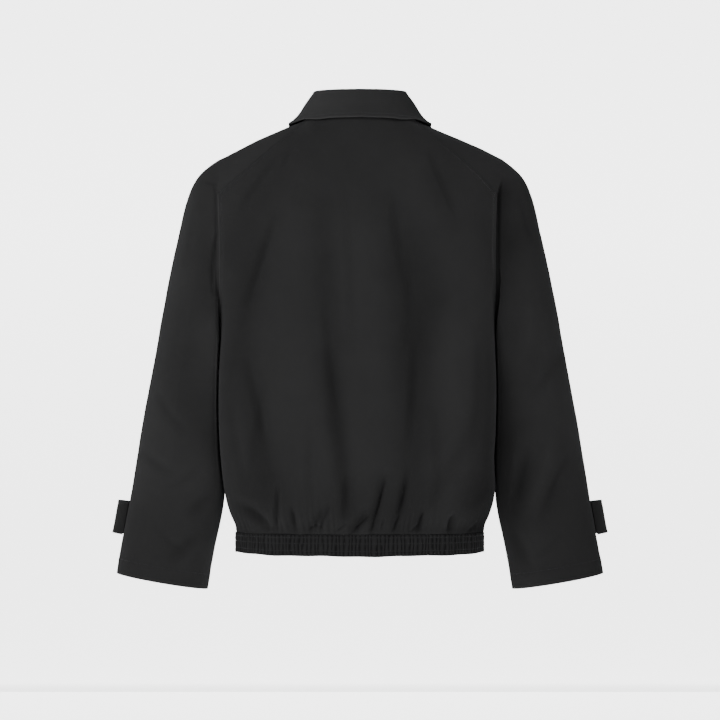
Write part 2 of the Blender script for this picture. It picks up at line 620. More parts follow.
def mirrored_columns(half):
    """A whole panel from its left half, its columns from the wearer's left, so that its normals face back."""
    right = half[:, :0:-1] * MIRROR
    return np.concatenate([right, half], axis=1)[:, ::-1]


def shoulder_half(face):
    """Left half of the back or front, whole up to the neck seam and the shoulder line, from centre to side."""
    if face == FRONT:
        return half_panel(FRONT)
    whole = eased(mirrored_columns(half_panel(BACK)))
    return whole[:, whole.shape[1] // 2:: -1]


def raglan_column(face):
    """Column at which the raglan seam starts from the neck seam."""
    return (NECK_COLUMNS_BACK if face == BACK else NECK_COLUMNS_FRONT) - RAGLAN_NECK_COLUMNS


def raglan_rows(half, face):
    """Fractional row of the raglan seam on each column: straight from neck to armhole, seen from behind."""
    top = len(half) - 1
    first = raglan_column(face)
    start = half[top, first]
    end = half[top - RAGLAN_ARM_ROWS, -1]
    slope = (end[2] - start[2]) / (end[0] - start[0])
    places = np.linspace(top - 3.0 * RAGLAN_ARM_ROWS, top, 200)
    rows = np.full(half.shape[1], float(top))
    rows[-1] = top - RAGLAN_ARM_ROWS
    for c in range(first + 1, half.shape[1] - 1):
        line = spline_at(half[:, c], places)
        rows[c] = np.interp(0.0, line[:, 2] - start[2] - slope * (line[:, 0] - start[0]), places)
    return rows


def left_side(folds):
    return [fold for fold in folds if fold.start_x > 0.0]


def right_side(folds):
    """The folds of the wearer's right side, turned over to the left."""
    return [
        fold._replace(start_x=-fold.start_x, bend_x=-fold.bend_x, end_x=-fold.end_x)
        for fold in folds if fold.start_x < 0.0
    ]


def armhole_loop():
    """The armhole's points, from the underarm up behind to the shoulder and down in front."""
    behind = half_panel(BACK)[ARMHOLE_ROW:, -1]
    ahead = half_panel(FRONT)[ARMHOLE_ROW:, -1]
    loop = np.concatenate([behind, ahead[-2:0:-1]])
    loop[0, 1] = 0.0
    loop[2 * ARM_STEPS, 1] = SHOULDER_POINT[1]
    return loop


SLEEVE_SHARES = travelled(np.array([(ring.outer_x, 0.0, ring.outer_z) for ring in SLEEVE_TABLE]))


def sleeve_at(share):
    """The sleeve's ring at shares of its length."""
    return SleeveRing(*(curve_through(SLEEVE_SHARES, values, share) for values in np.transpose(SLEEVE_TABLE)))


def sleeve_points(share, turn):
    """Points of the left sleeve's outer face: share runs from armhole to cuff, turn round from the underarm."""
    share, turn = np.broadcast_arrays(np.asarray(share, float), np.asarray(turn, float))
    ring = sleeve_at(share)
    middle_x = (ring.inner_x + ring.outer_x) / 2.0
    middle_z = (ring.inner_z + ring.outer_z) / 2.0
    reach_x = (ring.outer_x - ring.inner_x) / 2.0
    reach_z = (ring.outer_z - ring.inner_z) / 2.0
    depth = np.where(np.sin(turn) >= 0.0, ring.back_depth, ring.front_depth)
    power = 2.0 / np.where(np.cos(turn) > 0.0, ring.squareness, 2.0)
    inwards = np.sign(np.cos(turn)) * np.abs(np.cos(turn)) ** power
    x = middle_x - reach_x * inwards
    z = middle_z - reach_z * inwards
    y = depth * np.sign(np.sin(turn)) * np.abs(np.sin(turn)) ** power - ring.forward
    return np.stack([x, y, z], axis=-1)


def sleeve_grid():
    loop = armhole_loop()
    turn = np.linspace(0.0, 2.0 * math.pi, len(loop), endpoint=False)
    share = np.linspace(0.0, 1.0, SLEEVE_RINGS)[:, None]
    grid = sleeve_points(share, turn[None, :])
    fade = np.clip(1.0 - share / ARMHOLE_FADE, 0.0, 1.0) ** 2
    return grid + (loop - grid[0])[None] * fade[..., None]


def hem_outline(count):
    """Points and outward directions of the hem section at even steps from the left front edge to the right."""
    half_lines = [section_line(face, HEM_SEAM_Z, 600) for face in (FRONT, BACK)]
    left = np.concatenate([half_lines[0], half_lines[1][-2::-1]])
    left = left[left[:, 0] > ZIP_OPENING * 0.5]
    left[0] = (ZIP_OPENING, half_lines[0][0, 1])
    left = left[(left[:, 0] >= ZIP_OPENING) | (left[:, 1] > 0.0)]
    outline = np.concatenate([left, left[-2::-1] * np.array([-1.0, 1.0])])
    place = travelled(outline)
    even = np.linspace(0.0, 1.0, count)
    points = np.stack([np.interp(even, place, outline[:, 0]), np.interp(even, place, outline[:, 1])], axis=-1)
    along = np.gradient(points, axis=0)
    outward = unit(np.stack([-along[:, 1], along[:, 0]], axis=-1)) * -1.0
    outward[0] = (0.0, -1.0)
    outward[-1] = (0.0, -1.0)
    return points, outward


def all_round(half):
    """A line from the left front edge round the back to the right front edge, from its left half."""
    right = half[1:] * MIRROR
    return np.concatenate([half[::-1], right])


def neck_column_shares():
    """Shares round the neck seam at the columns of the back and the front, centre back to centre front."""
    back_t = np.linspace(0.0, 1.0, NECK_COLUMNS_BACK + 1) * NECK_POINT_SHARE
    front_t = 1.0 + (NECK_POINT_SHARE - 1.0) * np.linspace(0.0, 1.0, NECK_COLUMNS_FRONT + 1)
    return np.concatenate([back_t, front_t[-2::-1]])


def outer_tree(grids):
    """Search tree of the outer faces of some grids, to find how far a point stands off them."""
    points, faces = [], []
    for grid in grids:
        faces += (grid_quads(*grid.shape[:2]) + len(points)).tolist()
        points += grid.reshape(-1, 3).tolist()
    return BVHTree.FromPolygons(points, faces)


def lifted(points, tree, height):
    """The points, with each that lies nearer to the cloth below than a height moved out to it."""
    moved = points.copy()
    for i, point in enumerate(points):
        place, normal = tree.find_nearest(Vector(point))[:2]
        if (Vector(point) - place).dot(normal) < height:
            moved[i] = place + normal * height
    return moved


def strap_frame(turns, across):
    """Sleeve points, outward directions and the direction along the sleeve, at strap turns and widths."""
    share = np.interp(STRAP_CENTRE_Z, column(SLEEVE_TABLE, "outer_z")[::-1], SLEEVE_SHARES[::-1])
    outer_length = np.linalg.norm(np.diff([(r.outer_x, r.outer_z) for r in SLEEVE_TABLE], axis=0), axis=1).sum()
    here = sleeve_points(share + across / outer_length, turns)
    small = 0.01
    along = sleeve_points(share + small, turns) - sleeve_points(share - small, turns)
    around = sleeve_points(share, turns + small) - sleeve_points(share, turns - small)
    return here, unit(np.cross(around, along)), unit(along)


def zip_line(points, normals):
    """The zip's line on the outer face at the centre front, from the hem's lower edge to the neck."""
    foot = points[0] + np.array([0.0, 0.0, -HEM_BAND_HEIGHT])
    line = np.concatenate([[foot], points])
    line[:, 0] = 0.0
    out = np.concatenate([[normals[0]], normals])
    out[:, 0] = 0.0
    return line, unit(out)


TEETH_PLANE = CLOTH + PART_GAP + TAPE_CLOTH / 2.0


def slider_frame(line, out):
    """Centre of the slider on the teeth's middle plane, with the directions across, up the zip and outwards."""
    place = np.searchsorted(line[:, 2], SLIDER_CENTRE_Z)
    low = line[place - 1] - out[place - 1] * TEETH_PLANE
    high = line[place] - out[place] * TEETH_PLANE
    up = unit(high - low)
    outward = np.cross(ACROSS, up)
    t = (SLIDER_CENTRE_Z - low[2]) / (high[2] - low[2])
    return low + (high - low) * t, ACROSS, up, outward


# ---- dense grids

def spline_at(values, places, closed=False):
    """A smooth curve through evenly numbered values, read at fractional places."""
    count = len(values)
    flat = values.reshape(count, -1)
    matrix = 4.0 * np.eye(count)
    turn = np.zeros_like(flat)
    if closed:
        matrix += np.roll(np.eye(count), 1, axis=1) + np.roll(np.eye(count), -1, axis=1)
        turn = 6.0 * (np.roll(flat, -1, axis=0) - 2.0 * flat + np.roll(flat, 1, axis=0))
    else:
        matrix[1:-1] += np.eye(count, k=1)[1:-1] + np.eye(count, k=-1)[1:-1]
        turn[1:-1] = 6.0 * (flat[2:] - 2.0 * flat[1:-1] + flat[:-2])
    bend = np.linalg.solve(matrix, turn)
    i = np.floor(places).astype(int)
    if not closed:
        i = np.clip(i, 0, count - 2)
    t = (places - i)[:, None]
    s = 1.0 - t
    a = i % count
    b = (i + 1) % count
    read = s * flat[a] + t * flat[b] + ((s ** 3 - s) * bend[a] + (t ** 3 - t) * bend[b]) / 6.0
    return read.reshape((len(places),) + values.shape[1:])


def fine_places(count, steps, start=(), end=()):
    """Fractional places along numbered points: even steps, with extra places near the start and the end."""
    last = count - 1
    even = np.linspace(0.0, last, last * steps + 1)
    return np.unique(np.concatenate([even, np.asarray(start), last - np.asarray(end)]))


def dense(grid, rows_at, columns_at, closed=False):
    tall = spline_at(grid, rows_at)
    return spline_at(tall.transpose(1, 0, 2), columns_at, closed).transpose(1, 0, 2)


def read_surface(grid, rows, columns):
    """Points of the smooth surface through a grid, at fractional rows and columns."""
    by_row = spline_at(np.eye(grid.shape[0]), rows.ravel())
    by_column = spline_at(np.eye(grid.shape[1]), columns.ravel())
    points = np.einsum("pr,rck->pck", by_row, grid, optimize=True)
    return np.einsum("pc,pck->pk", by_column, points, optimize=True).reshape(rows.shape + (3,))


def grid_quads(rows, columns, closed=False):
    """Quads between numbered points, row by row; a closed grid joins its last column to its first."""
    numbers = np.arange(rows * columns).reshape(rows, columns)
    if closed:
        numbers = np.concatenate([numbers, numbers[:, :1]], axis=1)
    corners = (numbers[:-1, :-1], numbers[:-1, 1:], numbers[1:, 1:], numbers[1:, :-1])
    return np.stack(corners, axis=-1).reshape(-1, 4)


def wall_of(points, normals, quads, thickness):
    """Vertices and faces of a closed cloth wall: outer quads, the same moved in by the thickness, and a rim."""
    count = len(points)
    depth = np.broadcast_to(thickness, (count,))[:, None]
    sides = np.stack([quads, np.roll(quads, -1, axis=1)], axis=-1).reshape(-1, 2)
    shared = np.isin(sides[:, 0] * count + sides[:, 1], sides[:, 1] * count + sides[:, 0])
    a, b = sides[~shared].T
    faces = np.concatenate([quads, quads[:, [0, 3, 2, 1]] + count, np.stack([b, a, a + count, b + count], axis=1)])
    return np.concatenate([points, points - normals * depth]), faces


def way_along(grid, axis):
    """Distance of each point along its row or column of the grid, from the first."""
    steps = np.linalg.norm(np.diff(grid, axis=axis), axis=-1)
    pad = np.zeros_like(np.take(steps, [0], axis=axis))
    return np.cumsum(np.concatenate([pad, steps], axis=axis), axis=axis)


def way_to_end(way, axis):
    return np.take(way, [-1], axis=axis) - way


def waves(points, size, stretch, seed):
    """Soft random waves in the cloth, from about -1 to 1, drawn out along Z by the stretch."""
    scaled = points.reshape(-1, 3) / (size * np.array([1.0, 1.0, stretch]))
    shift = Vector((seed * 7.31, seed * 3.17, seed * 5.71))
    return np.array([noise.noise(Vector(p) + shift) for p in scaled]).reshape(points.shape[:-1])


def gathers(way):
    """Uneven gathers along a seam, from about -1 to 1."""
    slow = 1.9 * swell(way, 0.113, 0.8) + 1.3 * swell(way, 0.047, 2.1)
    return swell(way, GATHER_WIDTH, slow) * (0.62 + 0.38 * swell(way, 0.151, 1.0 + 0.5 * slow))


def seam_groove(distance):
    return -GROOVE_DEPTH * near(distance, GROOVE_WIDTH)


def puckers(distance, along, wobble):
    """The small waves of the cloth on both sides of a row of stitches."""
    return PUCKER_HEIGHT * near(distance, PUCKER_REACH) * swell(along, PUCKER_LENGTH, wobble)


def welt(distance, along, margin):
    """Topstitched seam: the cloth stands up over the turnings, dips under the stitches and puckers beside them."""
    rise = WELT_HEIGHT * ramp((margin + WELT_SLOPE - distance) / WELT_SLOPE)
    dip = STITCH_DIP * near(distance - margin, GROOVE_WIDTH)
    return rise - dip + puckers(distance - margin, along, 1.4 * swell(along, 0.061))


# ---- materials and meshes

def add(tree, kind, inputs=(), **settings):
    """The outputs of a node with its settings; each input takes a plain value or another node's output."""
    made = tree.nodes.new(kind)
    for name, value in settings.items():
        setattr(made, name, value)
    for name, value in dict(inputs).items():
        if isinstance(value, bpy.types.NodeSocket):
            tree.links.new(value, made.inputs[name])
        else:
            made.inputs[name].default_value = value
    return made.outputs


def maths(tree, operation, *values):
    return add(tree, "ShaderNodeMath", enumerate(values), operation=operation)[0]


def new_material(name, values):
    """A material with plain values on its shader's own inputs."""
    mat = bpy.data.materials.new(name)
    mat.use_nodes = True
    shader = mat.node_tree.nodes["Principled BSDF"]
    for label, value in values.items():
        shader.inputs[label].default_value = value
    return mat, mat.node_tree, shader


def clouded(tree, colour, darkest, brightest, scale, detail):
    """Soft noise in the piece's own place, and a colour that brightens with it."""
    here = add(tree, "ShaderNodeTexCoord")["Object"]
    cloud = add(tree, "ShaderNodeTexNoise", {"Vector": here, "Scale": scale, "Detail": detail})["Fac"]
    low, high = ((*(c * share for c in colour), 1.0) for share in (darkest, brightest))
    shade = add(tree, "ShaderNodeMix", {"Factor": cloud, "A": low, "B": high}, data_type="RGBA")
    return cloud, shade["Result"]


def bumped(tree, shader, height, strength, distance):
    bump = add(tree, "ShaderNodeBump", {"Height": height, "Strength": strength, "Distance": distance})
    tree.links.new(bump["Normal"], shader.inputs["Normal"])


def cloth_material(name, colour, weave=TWILL_WIDTH, sheen=0.0, roughness=0.86):
    """Fine twill: a diagonal weave and uneven threads in bump, a soft sheen, lighter worn edges, darker hollows."""
    mat, tree, shader = new_material(name, {
        "Roughness": roughness, "Diffuse Roughness": 1.0, "Specular IOR Level": 0.0,
        "Sheen Weight": sheen, "Sheen Roughness": 0.45, "Sheen Tint": (0.80, 0.82, 0.88, 1.0),
    })
    turned = add(tree, "ShaderNodeMapping", {
        "Vector": add(tree, "ShaderNodeUVMap", uv_map=CLOTH_UV)["UV"],
        "Rotation": (0.0, 0.0, TWILL_ANGLE),
        "Scale": (MILLIMETRE, MILLIMETRE, MILLIMETRE),
    })["Vector"]
    twill = add(tree, "ShaderNodeTexWave", {
        "Vector": turned, "Scale": WAVE_PERIOD / (weave * MILLIMETRE), "Distortion": 0.6, "Detail": 1.0,
    }, wave_type="BANDS")
    threads = add(tree, "ShaderNodeTexNoise", {"Vector": turned, "Scale": 1.3, "Detail": 3.0})["Fac"]
    woven = add(tree, "ShaderNodeMix", {"Factor": 0.4, "A": twill["Fac"], "B": threads}, data_type="FLOAT")
    bumped(tree, shader, woven["Result"], 0.45, 0.00008)
    specks = add(tree, "ShaderNodeMix", {
        "Factor": 0.25, "A": clouded(tree, colour, 0.86, 1.14, 14.0, 4.0)[1], "B": twill["Color"],
    }, data_type="RGBA", blend_type="MULTIPLY")["Result"]
    wear = add(tree, "ShaderNodeAttribute", attribute_name=WEAR)["Fac"]
    worn = add(tree, "ShaderNodeVectorMath", {0: specks, "Scale": maths(tree, "ADD", wear, 1.0)}, operation="SCALE")
    tree.links.new(worn[0], shader.inputs["Base Color"])
    return mat


def hard_material(name, colour, roughness, metallic, grain):
    """Moulded plastic or dark plated metal, with a fine uneven surface."""
    mat, tree, shader = new_material(name, {"Metallic": metallic, "Specular IOR Level": 0.25})
    cloud, shade = clouded(tree, colour, 0.8, 1.25, grain, 3.0)
    rough = add(tree, "ShaderNodeMapRange", {
        "Value": cloud, "To Min": roughness * 0.8, "To Max": min(roughness * 1.25, 1.0),
    })
    tree.links.new(shade, shader.inputs["Base Color"])
    tree.links.new(rough["Result"], shader.inputs["Roughness"])
    bumped(tree, shader, cloud, 0.25, 0.00004)
    return mat


def finish_named(name):
    """A finish of the jacket, made once from the sidebar's colours."""
    cloth = bpy.context.scene.jacket_cloth
    makers = {
        "twill": lambda: cloth_material(name, cloth.shell, sheen=cloth.sheen),
        "twill_band": lambda: cloth_material(name, cloth.band, sheen=cloth.sheen),
        "thread": lambda: cloth_material(name, cloth.thread, weave=0.0003, sheen=0.15, roughness=0.6),
        "zip_tape": lambda: cloth_material(name, [c * 0.8 for c in cloth.shell], weave=0.0009, sheen=cloth.sheen),
        "zip_metal": lambda: hard_material(name, cloth.metal, 0.52, 0.9, 260.0),
        "button_plastic": lambda: hard_material(name, cloth.button, 0.42, 0.0, 180.0),
    }
    return bpy.data.materials.get(name) or makers[name]()


def put(name, data):
    made = bpy.data.objects.new(name, data)
    bpy.context.collection.objects.link(made)
    return made


def fitted(made, node=None, body="jacket"):
    """Let a piece ride on a body of the frame in its slot, in place of a plain node."""
    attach(made, body)
    if node:
        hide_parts(node)
    return made


def make_mesh(name, vertices, faces, finish, sharp_degrees=50.0):
    mesh = bpy.data.meshes.new(name)
    mesh.from_pydata(np.asarray(vertices).tolist(), [], [tuple(face) for face in faces])
    mesh.materials.append(finish_named(finish))
    mesh.polygons.foreach_set("use_smooth", np.ones(len(mesh.polygons), dtype=bool))
    mesh.set_sharp_from_angle(angle=math.radians(sharp_degrees))
    mesh.update()
    return put(name, mesh)


def store(made, name, values, kind="FLOAT"):
    stored = made.data.attributes.new(name, kind, "POINT")
    stored.data.foreach_set("value" if kind == "FLOAT" else "vector", np.ascontiguousarray(values, float).ravel())


def give_cloth_lengths(made, uv, closed):
    """Write the cloth lengths into the mesh's UV map; on a tube the faces that close it run on without a jump."""
    mesh = made.data
    layer = mesh.uv_layers.new(name=CLOTH_UV)
    corners = np.empty(len(mesh.loops), dtype=int)
    mesh.loops.foreach_get("vertex_index", corners)
    values = uv[corners % len(uv)]
    if closed:
        quads = values.reshape(-1, 4, 2)
        girth = np.ptp(uv[:, 0])
        middle = uv[:, 0].min() + girth / 2.0
        closing = np.ptp(quads[:, :, 0], axis=1) > girth / 2.0
        quads[:, :, 0] += np.where(closing[:, None] & (quads[:, :, 0] < middle), girth, 0.0)
    layer.data.foreach_set("uv", values.ravel())


def make_cloth(name, points, normals, quads, thickness, uv, finish, wear, closed=False):
    """A cloth piece: a wall of some thickness with its cloth lengths and the wear of its edges."""
    made = make_mesh(name, *wall_of(points, normals, quads, thickness), finish)
    give_cloth_lengths(made, uv, closed)
    values = np.zeros(2 * len(points))
    values[: len(points)] = np.clip(wear, *WEAR_RANGE)
    store(made, WEAR, values)
    return made


def make_wall(name, outer, normals, thickness, finish, wear=0.0):
    """Cloth wall between an outer grid and the same grid moved in, its lengths from the middle column."""
    across = way_along(outer, 1)
    middle = outer.shape[1] // 2
    uv = np.stack([across - across[:, middle: middle + 1], way_along(outer, 0)], axis=-1)
    quads = grid_quads(*outer.shape[:2])
    points, outward, lengths = outer.reshape(-1, 3), normals.reshape(-1, 3), uv.reshape(-1, 2)
    return make_cloth(name, points, outward, quads, thickness, lengths, finish, np.ravel(wear))


def move_points(made, change):
    """Put each of a mesh's points where a function of all of them says."""
    mesh = made.data
    places = np.empty(len(mesh.vertices) * 3)
    mesh.vertices.foreach_get("co", places)
    mesh.vertices.foreach_set("co", change(places.reshape(-1, 3)).ravel())
    mesh.update()


def turn_over(made):
    """Mirror a finished piece to the wearer's other side."""
    move_points(made, lambda places: places * MIRROR)
    made.data.flip_normals()
    made.data.update()


def keep_plain(made):
    """Turn an object with modifiers into a plain mesh."""
    bpy.context.view_layer.update()
    shown = made.evaluated_get(bpy.context.evaluated_depsgraph_get())
    mesh = bpy.data.meshes.new_from_object(shown)
    old = made.data
    made.modifiers.clear()
    made.data = mesh
    mesh.name = made.name
    if old.users == 0:
        bpy.data.meshes.remove(old)


def combined(made, others, operation, rounding=0.0):
    """Join other shapes to an object or cut them from it, take them away and round what is left."""
    for other in others:
        step = made.modifiers.new("Combine", "BOOLEAN")
        step.operation = operation
        step.solver = "EXACT"
        step.object = other
    if rounding:
        edge = made.modifiers.new("Round", "BEVEL")
        edge.width = rounding
        edge.segments = 2
        edge.limit_method = "ANGLE"
    keep_plain(made)
    for other in others:
        bpy.data.objects.remove(other)


# ---- node trees and stitches

def new_tree(name, inputs):
    """A node tree with geometry in and out, and named inputs: numbers by their defaults, materials by none."""
    tree = bpy.data.node_groups.new(name, "GeometryNodeTree")
    tree.interface.new_socket("Geometry", in_out="INPUT", socket_type="NodeSocketGeometry")
    for label, value in inputs.items():
        made = tree.interface.new_socket(label, in_out="INPUT", socket_type=SOCKET_KINDS[type(value)])
        if value is not None:
            made.default_value = value
    tree.interface.new_socket("Geometry", in_out="OUTPUT", socket_type="NodeSocketGeometry")
    return tree, add(tree, "NodeGroupInput")


def end_tree(tree, geometry, material):
    """End a tree with real, smooth meshes in the given material."""
    shown = add(tree, "GeometryNodeRealizeInstances", {"Geometry": geometry})["Geometry"]
    shown = add(tree, "GeometryNodeSetShadeSmooth", {"Geometry": shown})["Geometry"]
    shown = add(tree, "GeometryNodeSetMaterial", {"Geometry": shown, "Material": material})["Geometry"]
    add(tree, "NodeGroupOutput", {"Geometry": shown})
    return tree


def run_tree(made, tree, values):
    """Run a node tree on an object with the named values, and keep its result as a plain mesh."""
    modifier = made.modifiers.new(tree.name, "NODES")
    modifier.node_group = tree
    for item in tree.interface.items_tree:
        if item.item_type == "SOCKET" and item.in_out == "INPUT" and item.name in values:
            modifier[item.identifier] = values[item.name]
    keep_plain(made)


def named_attribute(tree, name, kind="FLOAT"):
    return add(tree, "GeometryNodeInputNamedAttribute", {"Name": name}, data_type=kind)["Attribute"]


def laid_along(tree, given, pitch, axis, shape, material, more=()):
    """End a tree with a shape laid at an even pitch along the given lines, upright, with an axis along them."""
    line = add(tree, "GeometryNodeMeshToCurve", {"Mesh": given["Geometry"]})["Curve"]
    spaced = add(tree, "GeometryNodeResampleCurve", {"Curve": line, "Length": given[pitch]}, mode="LENGTH")
    tangent = add(tree, "GeometryNodeInputTangent")["Tangent"]
    along = add(tree, "FunctionNodeAlignRotationToVector", {"Vector": tangent}, axis=axis)
    upright = add(tree, "FunctionNodeAlignRotationToVector", {
        "Vector": named_attribute(tree, UP, "FLOAT_VECTOR"), "Rotation": along["Rotation"],
    }, axis="Z", pivot_axis=axis)
    laid = add(tree, "GeometryNodeInstanceOnPoints", {
        "Points": spaced["Curve"], "Instance": shape, "Rotation": upright["Rotation"], **dict(more),
    })
    return end_tree(tree, laid["Instances"], material)


def stitch_tree():
    """Stitches laid end to end along sewn lines: each an egg-shaped bead of thread, a little uneven."""
    tree, given = new_tree("Stitches", {
        "Stitch Length": 0.0026, "Stitch Pitch": 0.0032, "Thread Width": 0.0005, "Unevenness": 0.12, "Seed": 3,
        "Thread": None,
    })
    bead = add(tree, "GeometryNodeMeshIcoSphere", {"Radius": 1.0, "Subdivisions": 1})["Mesh"]
    half_width = maths(tree, "MULTIPLY", given["Thread Width"], 0.5)
    size = add(tree, "ShaderNodeCombineXYZ", {
        "X": maths(tree, "MULTIPLY", given["Stitch Length"], 0.5), "Y": half_width, "Z": half_width,
    })["Vector"]
    shaped = add(tree, "GeometryNodeTransform", {"Geometry": bead, "Scale": size})["Geometry"]
    uneven = add(tree, "FunctionNodeRandomValue", {
        2: maths(tree, "SUBTRACT", 1.0, given["Unevenness"]), 3: maths(tree, "ADD", 1.0, given["Unevenness"]),
        "Seed": given["Seed"],
    }, data_type="FLOAT")[1]
    return laid_along(tree, given, "Stitch Pitch", "X", shaped, given["Thread"], {"Scale": uneven})


def make_lines(name, lines):
    """Polylines with an upward direction at each point, for a node tree to lay shapes along."""
    edges = []
    first = 0
    for line, up in lines:
        edges += [(first + i, first + i + 1) for i in range(len(line) - 1)]
        first += len(line)
    mesh = bpy.data.meshes.new(name)
    mesh.from_pydata(np.concatenate([line for line, up in lines]).tolist(), edges, [])
    made = put(name, mesh)
    store(made, UP, np.concatenate([up for line, up in lines]), "FLOAT_VECTOR")
    return made


def sew(name, lines, seed):
    """Stitches along lines, on the jacket's body."""
    sewing = bpy.context.scene.jacket_sewing
    made = make_lines(name, lines)
    run_tree(made, bpy.data.node_groups.get("Stitches") or stitch_tree(), {
        "Stitch Length": sewing.stitch_length,
        "Stitch Pitch": sewing.stitch_pitch,
        "Thread Width": sewing.thread_width,
        "Seed": seed,
        "Thread": finish_named("thread"),
    })
    return fitted(made)


def sewn(made, node, lines, seed, mirrored, stitches_name):
    """A cloth piece in its place with its stitches, both turned over where it was made on the other side."""
    if mirrored:
        turn_over(made)
        lines = [(line * MIRROR, up * MIRROR) for line, up in lines]
    fitted(made, node)
    return made, sew(stitches_name, lines, seed)


def line_beside(grid, normals, way, distance, axis, rows=slice(None), columns=slice(None)):
    """The line on a grid that runs a distance from one of its edges, with the cloth's normals there."""
    places = grid[rows][:, columns]
    outward = normals[rows][:, columns]
    reach = way[rows] if axis == 1 else way
    if axis == 0:
        places = places.transpose(1, 0, 2)
        outward = outward.transpose(1, 0, 2)
        reach = reach.T
    read = []
    for place, normal, far in zip(places, outward, reach):
        order = np.argsort(far)
        both = np.hstack([place, normal])[order]
        read.append([np.interp(distance, far[order], values) for values in both.T])
    read = np.array(read)
    ups = unit(read[:, 3:])
    return read[:, :3] + ups * THREAD_LIFT, ups


# ---- body

def cut_panel(face, steps):
    """A panel as a dense grid that ends at the raglan seam, with its rows' and columns' places."""
    whole = shoulder_half(face)
    seam = raglan_rows(whole, face)
    if face == BACK:
        whole = mirrored_columns(whole)
        seam = np.concatenate([seam[:0:-1], seam])
    top = len(whole) - 1
    rows = fine_places(top + 1, 4, HEM_PLACES, EDGE_PLACES)
    columns = fine_places(whole.shape[1], steps, EDGE_PLACES, EDGE_PLACES)
    end = curve_through(np.arange(whole.shape[1]), seam, columns)
    climb = np.clip((rows - ARMHOLE_ROW) / (top - ARMHOLE_ROW), 0.0, 1.0)
    places = rows[:, None] - climb[:, None] * (top - end)[None]
    grid = read_surface(whole, places, np.broadcast_to(columns, places.shape))
    return grid, rows, columns, top


def leaned_over(points, turned=False):
    """The body's sides and the sleeves beside them leaned over each other, the right side drawn in a little.

    A piece that is turned over afterwards lies on the wearer's right where x is positive.
    """
    x, y, z = (points[..., k] for k in range(3))
    beside = near(np.abs(x) - LEAN_X, 0.020)
    between = ramp((z + 0.575) / 0.05) * ramp((-0.315 - z) / 0.02)
    share = y / LEAN_WIDTH
    moved = points.copy()
    moved[..., 0] += np.sign(x) * LEAN * share * np.exp(0.5 - 0.5 * share ** 2) * beside * between
    right = (x > 0.0) if turned else (x < 0.0)
    drawn = near(np.abs(x) - LEAN_X, RIGHT_SHIFT_WIDTH) * right
    drawn = drawn * ramp((z + 0.555) / 0.070) * ramp((-0.065 - z) / 0.045)
    moved[..., 0] -= np.sign(x) * RIGHT_SHIFT * drawn
    return moved


def crease_depth(points, creases):
    """Fine creases with soft shoulders: each a narrow trough between two low rolls of cloth."""
    shoulders = [crease._replace(width=crease.width * 2.1, depth=crease.depth * 0.35) for crease in creases]
    return fold_depth(points, creases) * 1.35 - fold_depth(points, shoulders)


def hollow_shade(press, fine):
    """Wear of the folds: unworn hollows are darker than the cloth round them, rubbed ridges lighter."""
    deep = -HOLLOW_SHADE * np.where(press > 0.0, press, 0.6 * press)
    return deep - CREASE_SHADE * np.where(fine > 0.0, fine, 0.6 * fine)


def softened(folds):
    """The folds with wider, gentler sides, as the finished cloth lies."""
    wide = {True: FOLD_SPREAD, False: 1.0}
    return [fold._replace(width=fold.width * wide[fold.width > FOLD_SHARPEST]) for fold in folds]


def sharpened_body(grid):
    """A panel with a tighter corner beside the side seam, below the underarm and fading out above it."""
    z = np.clip(grid[..., 2], HEM_SEAM_Z, UNDERARM_Z)
    half_width, _, plain = body_section(BACK, z)
    side = np.clip(np.abs(grid[..., 0]) / half_width, 0.0, 1.0)
    sharp = plain * BODY_SHARPNESS
    off = np.maximum(1.0 - side ** plain, 1e-12) ** (1.0 / plain)
    wanted = np.maximum(1.0 - side ** sharp, 1e-12) ** (1.0 / sharp)
    below = ramp((UNDERARM_Z - grid[..., 2]) / 0.08) * ramp((grid[..., 2] + 0.600) / 0.05)
    moved = grid.copy()
    moved[..., 1] *= 1.0 + (wanted / off - 1.0) * below * ramp((1.0 - side) / 0.004)
    return moved


def sharpened_sleeve(tube, share, turn):
    """A sleeve's sections with tight corners beside the body, so that the cloth there lies against it."""
    ring = sleeve_at(share[:, None])
    plain = 2.0 / ring.squareness
    across = np.cos(turn)[None]
    behind = np.sin(turn)[None]
    within = np.clip(across, 0.0, 1.0) ** plain
    out = np.maximum(1.0 - within ** SLEEVE_CORNER, 0.0) ** (1.0 / SLEEVE_CORNER) - np.abs(behind) ** plain
    out = np.where(across > 0.0, out, 0.0)
    depth = np.where(behind >= 0.0, ring.back_depth, ring.front_depth)
    ease = (ramp(share / 0.05) * ramp((1.0 - share) / 0.35))[:, None]
    moved = tube.copy()
    moved[..., 1] += depth * np.sign(behind) * out * ease
    return moved


def eased_underarm(grid):
    """Even out a panel's rows round the height of the underarm, up to its own side edges."""
    across = way_along(grid, 1)
    rim = way_to_end(across, 1)
    if grid[0, 0, 0] * grid[0, -1, 0] < 0.0:
        rim = np.minimum(across, rim)
    share = 0.5 * near(grid[..., 2] - UNDERARM_Z - UNDERARM_REACH / 3.0, UNDERARM_REACH) * ramp(rim / 0.012)
    moved = grid.copy()
    for _ in range(UNDERARM_ROUNDS):
        moved[1:-1] += ((moved[:-2] + moved[2:]) / 2.0 - moved[1:-1]) * share[1:-1, :, None]
    return moved


def three_waves(points, sizes, stretches, shares, seed, keeps):
    """Soft waves of three sizes in the cloth, the larger ones stronger, each kept where it may lie."""
    height = bpy.context.scene.jacket_drape.wave_height
    return sum(
        height * share * waves(points, size, stretch, seed + i) * keep
        for i, (size, stretch, share, keep) in enumerate(zip(sizes, stretches, shares, keeps))
    )


